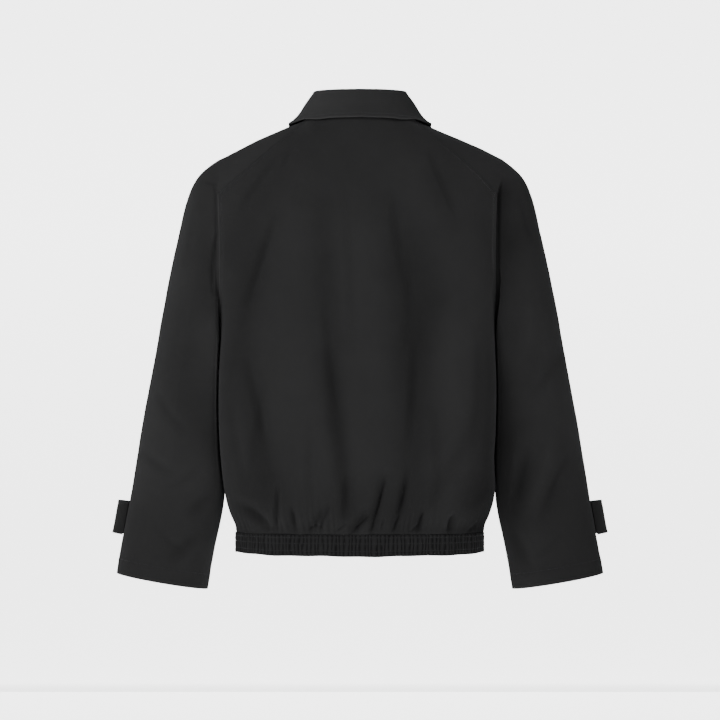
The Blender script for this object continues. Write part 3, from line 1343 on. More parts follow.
def dressed_panel(face, folds, creases, steps, seed, over=False):
    """A panel with its folds, creases, gathers and seams: points, normals, ways to its edges and wear."""
    grid, rows, columns, top_row = cut_panel(face, steps)
    grid = eased_underarm(sharpened_body(grid))
    share = columns / columns[-1]
    side = np.abs(2.0 * share - 1.0) if face == BACK else share
    from_top = top_row - rows
    keep = ramp(from_top / 4.0)[:, None] * ramp((1.0 - side) / 0.12)
    fine_keep = ramp(from_top / 1.2)[:, None] * ramp((1.0 - side) / 0.05)
    if face == FRONT:
        keep = keep * ramp(share / 0.15)
        fine_keep = fine_keep * ramp(share / 0.06)
    drape = bpy.context.scene.jacket_drape
    normals = grid_normals(grid)
    bottom = way_along(grid, 0)
    across = way_along(grid, 1)
    rim = np.minimum(across, way_to_end(across, 1)) if face == BACK else way_to_end(across, 1)
    press = fold_depth(grid, softened(folds)) * keep * drape.folds
    fine = crease_depth(grid, creases) * fine_keep * ramp((bottom + 0.002) / 0.006) * drape.creases
    lift = three_waves(grid, *BODY_WAVES, seed, (keep, fine_keep, fine_keep))
    girth = across[0] if face == BACK else across[0] + FRONT_GATHER_START
    hem = GATHER_HEIGHT * np.exp(-(bottom / GATHER_REACH) ** 1.3) * (0.45 + 0.55 * ramp(bottom / 0.006))
    lift += hem * gathers(girth) * ramp(rim / 0.03)
    stay = ramp(bottom / 0.012)
    move = normals * ((lift - press - fine) * (0.3 + 0.7 * stay))[..., None]
    move[..., 2] *= stay
    grid = leaned_over(grid + move, over)
    normals = grid_normals(grid)
    armhole = ramp((rows - ARMHOLE_ROW + 0.5) / 1.5)[:, None]
    middle = columns[-1] / 2.0 if face == BACK else 0.0
    raglan = ramp((np.abs(columns - middle) - raglan_column(face)) / 0.6)
    top = way_to_end(bottom, 0)
    margin = bpy.context.scene.jacket_sewing.margin
    relief = seam_groove(rim) * (1.0 - armhole) + welt(rim, bottom, margin) * armhole
    relief += seam_groove(bottom) - HEM_TUCK * near(bottom, 0.0015)
    relief += seam_groove(top) + welt(top, across, margin) * raglan * ramp(rim / 0.004)
    if face == FRONT:
        relief += welt(across, bottom, ZIP_MARGIN)
    grid = grid + normals * relief[..., None]
    grid[0, :, 2] -= HEM_TURN_IN
    x, z = grid[..., 0], grid[..., 2]
    under = ramp((UNDER_SHADE_FROM - z) / UNDER_SHADE_DROP)
    low = ramp((LOW_SHADE_FROM - z) / LOW_SHADE_DROP)
    wear = hollow_shade(press - lift, fine)
    wear -= low * (LOW_SHADE + LOW_SIDE_SHADE * ramp((np.abs(x) - 0.12) / 0.06))
    wear -= RIGHT_SHADE * under * ramp((-x - 0.130) / 0.060)
    wear -= LEFT_SHADE * under * ramp((x - 0.175) / 0.030)
    wear += (np.where(x > 0.0, 0.9, 0.25) * near(rim, 0.0012) + 0.12 * near(rim - margin, 0.003)) * armhole
    wear += 0.1 * near(top, 0.0012) * raglan
    if face == FRONT:
        wear += 0.4 * near(across, 0.0015)
    ways = {"rim": rim, "across": across, "top": top, "armhole": rows >= ARMHOLE_ROW, "raglan": raglan > 0.5}
    return grid, normals, ways, wear


def make_panel(name, node, face, folds, creases, seed, over):
    """One body panel with its stitches. A panel turned over is made on the wearer's left and mirrored."""
    grid, normals, ways, wear = dressed_panel(face, folds, creases, 7, seed, over)
    square = normals.copy()
    square[0, :, 2] = 0.0
    square[0] = unit(square[0])
    made = make_wall(name, grid, square, SHELL, "twill", wear)
    margin = bpy.context.scene.jacket_sewing.margin
    half = grid.shape[1] // 2
    halves = (slice(0, half), slice(half, None)) if face == BACK else (slice(0, None),)
    rim, rows = ways["rim"], ways["armhole"]
    lines = [line_beside(grid, normals, rim[:, part], margin, 1, rows, part) for part in halves]
    for part in halves:
        columns = np.zeros(grid.shape[1], dtype=bool)
        columns[part] = ways["raglan"][part] & (rim[-1, part] > margin)
        lines.append(line_beside(grid, normals, ways["top"][:, columns], margin, 0, slice(None), columns))
    if face == FRONT:
        lines.append(line_beside(grid, normals, ways["across"], ZIP_MARGIN, 1))
    return sewn(made, node, lines, seed, over, name + "_stitches")


# ---- sleeves

def dense_strip(places, rows_at):
    """The sleeve above its armhole, at places across it and rows from the neck out to the armhole."""
    strip = np.empty((len(rows_at), len(places), 3))
    for face in (BACK, FRONT):
        half = shoulder_half(face)
        top = len(half) - 1
        last = half.shape[1] - 1.0
        first = raglan_column(face)
        chosen = places <= RAGLAN_ARM_ROWS if face == BACK else places > RAGLAN_ARM_ROWS
        own = places[chosen] if face == BACK else 2.0 * RAGLAN_ARM_ROWS - places[chosen]
        across = (own / RAGLAN_ARM_ROWS)[None]
        along = rows_at / (last - first)
        seam_columns = (first + rows_at)[:, None]
        line_columns = (first + RAGLAN_NECK_COLUMNS + along * (last - first - RAGLAN_NECK_COLUMNS))[:, None]
        seam_rows = curve_through(np.arange(half.shape[1]), raglan_rows(half, face), seam_columns)
        rows = seam_rows * (1.0 - across) + top * across
        strip[:, chosen] = read_surface(half, rows, seam_columns * (1.0 - across) + line_columns * across)
    return strip


def relaxed(points, quads, share, rounds):
    """Even out the points of a mesh towards their neighbours, each by its own share."""
    sides = np.concatenate([np.stack([quads[:, i], quads[:, (i + 1) % 4]], axis=1) for i in range(4)])
    count = np.bincount(sides[:, 0], minlength=len(points)) + np.bincount(sides[:, 1], minlength=len(points))
    for _ in range(rounds):
        total = np.zeros_like(points)
        np.add.at(total, sides[:, 0], points[sides[:, 1]])
        np.add.at(total, sides[:, 1], points[sides[:, 0]])
        points = points + (total / count[:, None] - points) * share[:, None]
    return points


def quad_normals(points, quads):
    """Unit normals of a mesh's points from the quads round them."""
    a, b, c, d = (points[quads[:, i]] for i in range(4))
    across = np.cross(c - a, d - b)
    total = np.zeros_like(points)
    for i in range(4):
        np.add.at(total, quads[:, i], across)
    return unit(total)


def make_sleeve(side, folds, creases, seed, left):
    """A raglan sleeve: its shoulder strip, its tube tucked in beside the body's edge, and a turned-up cuff hem."""
    coarse = sleeve_grid()
    ring = coarse.shape[1]
    low = ring // 2 - RAGLAN_ARM_ROWS
    high = ring // 2 + RAGLAN_ARM_ROWS
    edges = np.asarray(EDGE_PLACES)
    rows_at = fine_places(len(coarse), 7, SLEEVE_EDGE_PLACES, SLEEVE_EDGE_PLACES)
    even = np.arange(0.0, ring, 1.0 / 6.0)
    columns_at = np.unique(np.concatenate([even, edges, ring - edges, low + edges, high - edges]))
    share = rows_at / (len(coarse) - 1)
    turn = 2.0 * np.pi * columns_at / ring
    tube = sharpened_sleeve(dense(coarse, rows_at, columns_at, closed=True), share, turn)
    arc = np.nonzero((columns_at >= low) & (columns_at <= high))[0]
    strip_at = fine_places(NECK_COLUMNS_BACK + SHOULDER_COLUMNS - raglan_column(BACK) + 1, 5, edges, edges)
    strip = dense_strip(columns_at[arc] - low, strip_at)
    gap = tube[0, arc] - strip[-1]
    strip = strip + gap[None] * ramp(1.0 - (strip_at[-1] - strip_at) / 1.5)[:, None, None]
    shape = tube.shape[:2]
    on_tube = shape[0] * shape[1]
    numbers = on_tube + np.arange(strip.shape[0] * strip.shape[1]).reshape(strip.shape[:2])
    numbers[-1] = arc
    quads = np.concatenate([grid_quads(*shape, True), numbers.ravel()[grid_quads(*strip.shape[:2])]])
    points = np.concatenate([tube.reshape(-1, 3), strip[:-1].reshape(-1, 3)])

    def both(tube_values, strip_values):
        """Values of all points, from those on the tube and those on the strip."""
        above = np.broadcast_to(strip_values, strip.shape[:2])[:-1]
        return np.concatenate([np.broadcast_to(tube_values, shape).ravel(), above.ravel()])

    over = ramp(RAGLAN_ARM_ROWS - np.abs(columns_at - ring / 2.0))
    from_inside = np.minimum(turn, 2.0 * np.pi - turn)
    down = way_along(tube, 0)
    up = way_to_end(down, 0)
    around = way_along(tube, 1)
    whole = around[:, -1:] + np.linalg.norm(tube[:, :1] - tube[:, -1:], axis=-1)
    strip_across = way_along(strip, 1)
    ease = both(near(down, 0.030) * over, over[arc] * ramp(strip_at / 3.0)[:, None])
    points = relaxed(points, quads, 0.5 * ease, 40)

    foot = ramp((1.0 - share) / 0.05)[:, None]
    head = np.maximum(ramp(share / 0.06)[:, None], over) * foot
    fine_head = np.maximum(ramp(share / 0.012)[:, None], over) * foot
    behind = np.clip(np.sin(turn), 0.0, 1.0) ** 0.5
    ahead = np.clip(-np.sin(turn), 0.0, 1.0) ** 0.5
    clear = ramp((from_inside - 0.25) / 0.4)
    fine_clear = ramp((from_inside - 0.15) / 0.2)
    strip_over = over[arc] * ramp(strip_at / 1.5)[:, None]
    drape = bpy.context.scene.jacket_drape
    normals = quad_normals(points, quads)
    press = fold_depth(points, softened(folds)) * both(behind * clear * head, 0.0) * drape.folds
    fine_share = both((behind + 0.8 * ahead) * fine_clear * fine_head, 0.0)
    fine = crease_depth(points, creases) * fine_share * drape.creases
    keeps = (clear * head, (0.3 + 0.7 * clear) * head, head)
    lift = three_waves(points, *SLEEVE_WAVES, seed, [both(keep, strip_over) for keep in keeps])
    wear = hollow_shade(press - lift, fine)
    beside_body = np.clip(points[:, 0] - LEAN_X, 0.0, None)
    shades = column(BESIDE_SHADES, "left" if left else "right")
    shade = curve_through(column(BESIDE_SHADES, "z"), shades, points[:, 2])
    wear += shade * np.exp(-beside_body / BESIDE_WIDTH) * both(1.0, 0.0)
    wear += (LEFT_LIGHT if left else 0.0) - CUFF_SHADE * ramp((-0.50 - points[:, 2]) / 0.10)
    tuck, reach = TUCKS[side]
    tucked = ramp(down / TUCK_EDGE) * ramp((reach - down) / (reach - TUCK_EDGE))
    beside = (1.0 - over) * ramp((from_inside - 0.12) / 0.25)
    press = press + fine + both(tuck * tucked * beside, 0.0)
    points = leaned_over(points + normals * (lift - press)[:, None], not left)

    normals = quad_normals(points, quads)
    from_seam = np.minimum(around, whole - around)
    strip_rim = np.minimum(strip_across, way_to_end(strip_across, 1))
    turned_up = ramp((CUFF_HEM + 0.0012 - up) / 0.0012)
    relief = seam_groove(from_seam) + seam_groove(down) * (1.0 - over)
    relief += 0.0004 * turned_up
    relief -= 0.0003 * near(up, 0.0006)
    relief -= STITCH_DIP * near(up - CUFF_STITCHES, GROOVE_WIDTH)
    relief += puckers(up - CUFF_HEM, around, 1.1 * swell(around, 0.07))
    points = points + normals * both(relief, seam_groove(strip_rim))[:, None]
    square = normals.copy()
    outside = [k for k in range(shape[1]) if k < arc[0] or k > arc[-1]]
    square[outside, 0] = np.minimum(square[outside, 0], 0.0)
    square = unit(square)
    wear += both(0.45 * near(up, 0.0014) + 0.12 * near(from_seam, 0.002), 0.1 * near(strip_rim, 0.0012))
    middle = len(arc) // 2
    uv = np.stack([
        both(around, strip_across - strip_across[:, middle, None] + around[0, arc[middle]]),
        both(down, -way_to_end(way_along(strip, 0), 0)),
    ], axis=-1)
    thickness = SHELL + 0.0007 * both(turned_up, 0.0)
    made = make_cloth(
        "sleeve_" + side + "_cloth", points, square, quads, thickness, uv, "twill", wear, closed=True,
    )
    wrap = np.r_[0: shape[1], 0]
    outer, outward = (values[:on_tube].reshape(shape + (3,))[:, wrap] for values in (points, normals))
    lines = [line_beside(outer, outward, up[:, wrap], CUFF_STITCHES, 0)]
    return sewn(made, "sleeve_" + side, lines, seed, not left, "cuff_" + side + "_stitches")


# ---- hem band

def rib_tree():
    """Gathered elastic: ribs with round tops and sharp grooves, held down where rows of stitches cross them."""
    tree, given = new_tree("Gathered Ribs", {
        "Rib Pitch": 0.0034, "Rib Height": 0.0011, "Wander": 1.9, "Groove Shade": 0.95, "Row Light": 0.36,
        "Cloth": None,
    })
    along, height, hold, row = (named_attribute(tree, name) for name in ("along", "height", "hold", "row"))

    def times(first, second):
        return maths(tree, "MULTIPLY", first, second)

    def noise_at(axis, along_scale, height_scale):
        """Soft noise, drawn out up the band."""
        inputs = {"X": times(along, along_scale), axis: times(height, height_scale)}
        place = add(tree, "ShaderNodeCombineXYZ", inputs)
        inputs = {"Vector": place["Vector"], "Scale": 1.0, "Detail": 2.0}
        return add(tree, "ShaderNodeTexNoise", inputs)["Fac"]

    wander = times(noise_at("Y", 95.0, 30.0), given["Wander"])
    count = maths(tree, "ADD", maths(tree, "DIVIDE", along, given["Rib Pitch"]), wander)
    wave = maths(tree, "ABSOLUTE", maths(tree, "SINE", times(count, math.pi)))
    ridge = maths(tree, "SUBTRACT", maths(tree, "POWER", wave, 0.8), 0.6)
    swing = maths(tree, "ADD", times(noise_at("Z", 140.0, 45.0), 1.2), 0.4)
    rise = times(ridge, times(swing, hold))
    offset = add(tree, "ShaderNodeVectorMath", {
        0: named_attribute(tree, UP, "FLOAT_VECTOR"), "Scale": times(rise, given["Rib Height"]),
    }, operation="SCALE")
    moved = add(tree, "GeometryNodeSetPosition", {
        "Geometry": given["Geometry"], "Offset": offset["Vector"],
    })
    shaded = add(tree, "GeometryNodeStoreNamedAttribute", {
        "Geometry": moved["Geometry"], "Name": WEAR,
        "Value": maths(tree, "ADD", times(rise, given["Groove Shade"]), times(row, given["Row Light"])),
    }, data_type="FLOAT", domain="POINT")
    return end_tree(tree, shaded["Geometry"], given["Cloth"])


def make_hem_band():
    """Elastic band: gathered into fine ribs, held by rows of stitches and plain at its ends beside the zip."""
    columns = HEM_RIBS * POINTS_PER_RIB + 1
    outline, outward = hem_outline(columns)
    levels = np.array(HEM_LEVELS)
    edge = np.minimum(levels, HEM_BAND_HEIGHT - levels)
    way = travelled(outline) * np.linalg.norm(np.diff(outline, axis=0), axis=1).sum()
    from_end = np.minimum(way, way[-1] - way)
    loose = ramp(from_end / HEM_RIB_FADE)
    puff = 0.0006 * swell(way, 0.083, 0.7 * swell(way, 0.21)) * loose
    wave = 0.0005 * swell(way, 0.137, 1.0) + 0.0003 * swell(way, 0.052)
    sag = HEM_SAG * (1.0 - (outline[:, 0] / outline[:, 0].max()) ** 2)
    grid = np.zeros((len(levels), columns, 3))
    grid[..., :2] = outline + outward * (puff[:, None] - 0.0009 * near(edge, 0.0011)[:, None, None])
    grid[..., 2] = HEM_SEAM_Z - HEM_BAND_HEIGHT + levels[:, None]
    grid[..., 2] += (wave * loose - sag) * ramp(1.0 - levels / HEM_BAND_HEIGHT)[:, None]
    flat_out = np.column_stack([outward, np.zeros(columns)])
    normals = np.broadcast_to(flat_out, grid.shape)
    hold = 1.0 - sum(0.72 * near(levels - row, 0.0012) for row in HEM_STITCH_ROWS)[:, None]
    made = make_wall("hem_band_cloth", grid, normals, SHELL, "twill_band")
    inside = np.zeros(grid.shape[:2])
    store(made, "hold", np.concatenate([hold * ramp(from_end / HEM_RIB_FADE * 2.0), inside]))
    store(made, "row", np.concatenate([(1.0 - hold) * loose, inside]))
    store(made, "along", np.broadcast_to(way, (2 * len(levels), columns)))
    store(made, "height", np.broadcast_to(np.tile(levels, 2)[:, None], (2 * len(levels), columns)))
    store(made, UP, np.concatenate([normals, normals]), "FLOAT_VECTOR")
    run_tree(made, rib_tree(), {
        "Rib Pitch": way[-1] / HEM_RIBS,
        "Rib Height": bpy.context.scene.jacket_sewing.rib_height,
        "Cloth": finish_named("twill_band"),
    })
    fitted(made, "hem_band")
    lines = []
    for row in HEM_STITCH_ROWS:
        at = [np.interp(row, levels, grid[:, k, 2]) for k in range(columns)]
        line = np.column_stack([outline + outward * (puff + THREAD_LIFT)[:, None], at])
        lines.append((line[4:-4:3], flat_out[4:-4:3]))
    stitches = sew("hem_band_stitches", lines, 23)


# ---- collar

def edge_relief(rim, margin, dip, width):
    """A doubled edge: thicker up to its stitches, dipped under them and rounded at the rim."""
    raised = 0.0003 * ramp((margin - rim) / 0.001) - 0.0004 * near(rim, 0.0006)
    return raised - dip * near(rim - margin, width)


def make_collar(body_grids):
    """Stand on the neck seam and the turned-down leaf, stitched round its edge."""
    shares = neck_column_shares()
    fold = collar_line("fold", shares)
    seam = all_round(collar_line("seam", shares)) + np.array([0.0, 0.0, NECK_SEAM_LIFT])
    coarse = np.array([seam, (seam + all_round(fold)) / 2.0, all_round(fold)])
    columns_at = fine_places(len(seam), 5, EDGE_PLACES, EDGE_PLACES)
    stand = dense(coarse, fine_places(3, 6, EDGE_PLACES, EDGE_PLACES), columns_at)
    normals = grid_normals(stand)
    stand += normals * (seam_groove(way_along(stand, 0)) + 0.0003 * waves(stand, 0.03, 1.0, 31))[..., None]
    stand_made = make_wall("collar_stand_cloth", stand, normals, COLLAR_SHELL, "twill")
    fitted(stand_made, "collar_stand")

    fall = collar_line("edge", shares) - fold
    along = np.gradient(fold, axis=0)
    out = unit(np.stack([-along[:, 1], along[:, 0], np.zeros(len(along))], axis=-1))
    out[0] = (0.0, 1.0, 0.0)
    rows = [fold + out * beyond + np.array([0.0, 0.0, height]) for beyond, height in LEAF_ROLL]
    tree = outer_tree(body_grids)
    for drop, bow in LEAF_FALL:
        rows.append(lifted(fold + fall * drop + out * bow, tree, COLLAR_CLOTH + LEAF_LIFT))
    coarse = np.array([all_round(row) for row in rows[::-1]])
    leaf = dense(coarse, fine_places(len(coarse), 6, EDGE_PLACES, EDGE_PLACES), columns_at)
    normals = grid_normals(leaf)
    from_edge = way_along(leaf, 0)
    to_fold = way_to_end(from_edge, 0)
    round_edge = way_along(leaf, 1)
    to_end = way_to_end(round_edge, 1)
    rim = np.minimum(from_edge, np.minimum(round_edge, to_end))
    free = ramp(from_edge / 0.004) * ramp(to_fold / 0.012)
    margin = bpy.context.scene.jacket_sewing.margin
    relief = 0.0008 * waves(leaf, 0.045, 1.0, 33) * free + edge_relief(rim, margin, 0.0005, 0.0011)
    relief += 0.7 * puckers(rim - margin, round_edge, 1.2 * swell(round_edge, 0.05))
    leaf += normals * relief[..., None]
    wear = 0.5 * near(rim, 0.0013) + 0.2 * near(rim - margin, 0.0016)
    wear += COLLAR_LIGHT * (0.6 + 1.2 * ramp((leaf[..., 0] + 0.03) / 0.11))
    leaf_made = make_wall("collar_leaf_cloth", leaf, normals, COLLAR_SHELL, "twill", wear)
    fitted(leaf_made, "collar_leaf")
    inside = (round_edge[0] > margin) & (to_end[0] > margin)
    lines = [line_beside(leaf[:, inside], normals[:, inside], from_edge[:, inside], margin, 0)]
    tall = (from_edge[:, 0] > margin) & (to_fold[:, 0] > 0.004)
    lines += [line_beside(leaf[tall], normals[tall], way[tall], margin, 1) for way in (round_edge, to_end)]
    stitches = sew("collar_stitches", lines, 35)


# ---- cuff straps and buttons

def make_strap(side, left):
    """Strap sewn into the outer sleeve: a doubled band with a stitched edge and a rounded end."""
    turns = math.pi + np.radians(column(STRAP_POINTS, "degrees"))
    lifts = column(STRAP_POINTS, "lift")[:, None]
    half_widths = STRAP_HALF_WIDTH * column(STRAP_POINTS, "width_share")
    rows = []
    for share in (-1.0, 0.0, 1.0):
        here, outward = strap_frame(turns, share * half_widths)[:2]
        rows.append(here + outward * lifts)
    middle = dense(np.array(rows), fine_places(3, 8, EDGE_PLACES, EDGE_PLACES), fine_places(len(turns), 6))
    normals = grid_normals(middle)
    across = way_along(middle, 0)
    to_low = way_to_end(across, 0)
    along = way_along(middle, 1)
    to_tip = way_to_end(along, 1)
    rim = np.minimum(np.minimum(across, to_low), to_tip)
    relief = edge_relief(rim, STRAP_MARGIN, 0.0004, 0.0009) + 0.0004 * waves(middle, 0.02, 1.0, 41)
    outer = middle + normals * (STRAP_SHELL / 2.0 + relief)[..., None]
    wear = 0.55 * near(rim, 0.0012)
    made = make_wall("cuff_tab_" + side + "_cloth", outer, normals, STRAP_SHELL, "twill", wear)
    clear = (to_tip[0] > STRAP_MARGIN * 2.0) & (along[0] > 0.002)
    on_clear = outer[:, clear], normals[:, clear]
    lines = [line_beside(*on_clear, way[:, clear], STRAP_MARGIN, 0) for way in (across, to_low)]
    inner = (across[:, -1] > STRAP_MARGIN) & (to_low[:, -1] > STRAP_MARGIN)
    lines.append(line_beside(outer[inner], normals[inner], to_tip[inner], STRAP_MARGIN, 1))
    made, stitches = sewn(made, "cuff_tab_" + side, lines, 43, not left, "cuff_tab_" + side + "_stitches")


def ring_faces(rings, sides):
    """Faces of a closed shape whose points lie in rings, foot first."""
    faces = [tuple(range(sides - 1, -1, -1)), tuple(range((rings - 1) * sides, rings * sides))]
    for ring in range(rings - 1):
        for k in range(sides):
            a = ring * sides + k
            b = ring * sides + (k + 1) % sides
            faces.append((a, b, b + sides, a + sides))
    return faces


def lathe(profile, sides, x=0.0, y=0.0):
    """A turned shape about an upright axis, from its (radius, height) profile, foot first."""
    angle = 2.0 * np.pi * np.arange(sides) / sides
    vertices = [(r * math.cos(a) + x, r * math.sin(a) + y, h) for r, h in profile for a in angle]
    return vertices, ring_faces(len(profile), sides)


def tube_around(line, radius, sides=6):
    """A closed round cord along a line."""
    along = unit(np.gradient(line, axis=0))
    side = unit(np.cross(along, np.array([0.123, 0.456, 0.881])))
    other = np.cross(along, side)
    angle = (2.0 * np.pi * np.arange(sides) / sides)[None, :, None]
    rings = line[:, None] + radius * (np.cos(angle) * side[:, None] + np.sin(angle) * other[:, None])
    return rings.reshape(-1, 3).tolist(), ring_faces(len(line), sides)


def make_button(side, left):
    """Four-hole button with a raised rim and a thread cross, on the strap's end."""
    turn = np.array([math.pi + math.radians(BUTTON_DEGREES)])
    lift = np.interp(BUTTON_DEGREES, column(STRAP_POINTS, "degrees"), column(STRAP_POINTS, "lift"))
    here, outward, along = (found[0] for found in strap_frame(turn, np.zeros(1)))
    centre = here + outward * (lift + STRAP_CLOTH / 2.0 + BUTTON_GAP)
    axes = np.array([along, np.cross(outward, along), outward])
    profile = [(BUTTON_RADIUS * r, BUTTON_HEIGHT * h) for r, h in BUTTON_PROFILE]
    made = make_mesh("cuff_button_" + side + "_rim", *lathe(profile, 40), "button_plastic", 40.0)
    hole = ((BUTTON_HOLE, -0.001), (BUTTON_HOLE, BUTTON_HEIGHT))
    away = BUTTON_HOLE_SPREAD
    spots = ((away, away), (-away, away), (-away, -away), (away, -away))
    combined(made, [make_mesh("hole", *lathe(hole, 12, x, y), "button_plastic") for x, y in spots], "DIFFERENCE")
    vertices, faces = [], []
    t = np.linspace(-1.0, 1.0, 9)
    for x, y in spots[:2]:
        rise = 0.66 * BUTTON_HEIGHT + 0.0005 * (1.0 - t ** 2) - 0.0004 * t ** 4
        points, sides = tube_around(np.column_stack([x * t, y * t, rise]), 0.00035)
        faces += [tuple(len(vertices) + k for k in face) for face in sides]
        vertices += points
    thread = make_mesh("cuff_button_" + side + "_thread", vertices, faces, "thread")
    for piece in (made, thread):
        move_points(piece, lambda places: centre + places @ axes)
        if not left:
            turn_over(piece)
    fitted(made, "cuff_button_" + side)
    fitted(thread)


# ---- zip

def tooth_tree():
    """A row of coil teeth along a line, each a rounded block that hooks towards the other row."""
    tree, given = new_tree("Zip Teeth", {
        "Pitch": 0.0028, "Width": 0.0030, "Height": 0.0013, "Depth": 0.0026, "Metal": None,
    })
    size = add(tree, "ShaderNodeCombineXYZ", {"X": given["Width"], "Y": given["Height"], "Z": given["Depth"]})
    block = add(tree, "GeometryNodeMeshCube", {"Size": size["Vector"]})["Mesh"]
    rounded = add(tree, "GeometryNodeSubdivisionSurface", {"Mesh": block, "Level": 1, "Edge Crease": 0.55})
    return laid_along(tree, given, "Pitch", "Y", rounded["Mesh"], given["Metal"])


def smooth_blocks(name, blocks, centre, axes, bevel, body, node):
    """Blocks joined into one rounded metal part, placed in the zip's frame."""
    pieces = []
    for low, high in blocks:
        vertices = [(x, y, z) for z in (low[2], high[2]) for y in (low[1], high[1]) for x in (low[0], high[0])]
        pieces.append(make_mesh("block", vertices, BLOCK_FACES, "zip_metal"))
    made = pieces[0]
    made.name = name
    combined(made, pieces[1:], "UNION", bevel)
    move_points(made, lambda places: centre + places @ np.array(axes))
    made.data.set_sharp_from_angle(angle=math.radians(40.0))
    fitted(made, node, body)


def make_zip():
    """Tapes behind the front edges, tooth rows, slider, pull tab and the box at the foot."""
    coarse = shoulder_half(FRONT)
    line, out = zip_line(coarse[:, 0], grid_normals(coarse)[:, 0])
    rows = fine_places(len(line), 4)
    fine = spline_at(line, rows)
    fine[:, 0] = 0.0
    fine_out = unit(spline_at(out, rows))
    widths = TAPE_INNER_EDGE + TAPE_WIDTH * np.array(TAPE_PLACES)
    depth = CLOTH + PART_GAP - np.array(TAPE_RISES)
    for side in ("left", "right"):
        grid = fine[:, None] - fine_out[:, None] * depth[:, None] + widths[:, None] * ACROSS
        tape = make_wall("zip_tape_" + side + "_cloth", grid, grid_normals(grid), TAPE_CLOTH * 0.8, "zip_tape")
        if side == "right":
            turn_over(tape)
        fitted(tape, "zip_tape_" + side)
    top_z = line[-2, 2] + (line[-1, 2] - line[-2, 2]) * TEETH_END_SHARE
    keep = (fine[:, 2] > line[0, 2] + BOX_HEIGHT + 0.0014) & (fine[:, 2] < top_z - 0.001)
    middle = fine[keep] - fine_out[keep] * TEETH_PLANE
    width = TEETH_OUTER_EDGE + 0.0004
    aside = (TEETH_INNER_EDGE + width / 2.0 - 0.0003) * ACROSS
    half_pitch = unit(np.gradient(middle, axis=0)) * TOOTH_PITCH / 2.0
    teeth_tree = tooth_tree()
    for side, teeth_line in (("left", middle + aside), ("right", middle - aside + half_pitch)):
        teeth = make_lines("zip_teeth_" + side + "_row", [(teeth_line, fine_out[keep])])
        run_tree(teeth, teeth_tree, {
            "Pitch": TOOTH_PITCH, "Width": width, "Height": TOOTH_PITCH * 0.46, "Depth": TEETH_DEPTH * 0.95,
            "Metal": finish_named("zip_metal"),
        })
        fitted(teeth, "zip_teeth_" + side)
    centre, *axes = slider_frame(line, out)
    front = TEETH_DEPTH / 2.0 + PART_GAP
    face = front + SLIDER_PLATE
    top = face + BAIL_RISE
    wide, long, thin, half = SLIDER_HALF_WIDTH, SLIDER_HALF_LENGTH, BAIL_HALF_WIDTH, BAIL_HALF_LENGTH
    smooth_blocks("zip_slider_body", (
        ((-wide, -long, front), (wide, long, face)),
        ((-thin, -half, face - 0.0002), (thin, -half + BAIL_WALL, top)),
        ((-thin, half - BAIL_WALL, face - 0.0002), (thin, half, top)),
        ((-thin, -half + 0.0002, top - BAIL_WALL), (thin, half - 0.0002, top - 0.00002)),
    ), centre, axes, 0.00025, "jacket", "zip_slider")
    pivot = centre + axes[2] * (face + (BAIL_RISE - BAIL_WALL) / 2.0)
    bar, arm, window, inset = PULL_BAR_HALF, PULL_HALF_WIDTH, PULL_WINDOW_HALF, PULL_BAR_HALF - 0.00005
    smooth_blocks("zip_pull_tab", (
        ((-arm, -bar, -bar), (arm, bar, bar)),
        ((-arm, -PULL_WINDOW_LENGTH - 0.001, -inset), (-window, 0.0, inset)),
        ((window, -PULL_WINDOW_LENGTH - 0.001, -inset), (arm, 0.0, inset)),
        ((-arm + 0.0002, -PULL_LENGTH, -bar + 0.0001), (arm - 0.0002, -PULL_WINDOW_LENGTH, bar - 0.0001)),
    ), pivot, axes, 0.00025, "pull", "zip_pull")
    smooth_blocks("zip_box_body", (
        ((-TEETH_OUTER_EDGE, 0.0, -0.0016), (TEETH_OUTER_EDGE, BOX_HEIGHT, 0.0016)),
    ), line[0] - out[0] * TEETH_PLANE, (ACROSS, (0.0, 0.0, 1.0), (0.0, -1.0, 0.0)), 0.0004, "jacket", "zip_box")


# ---- stage

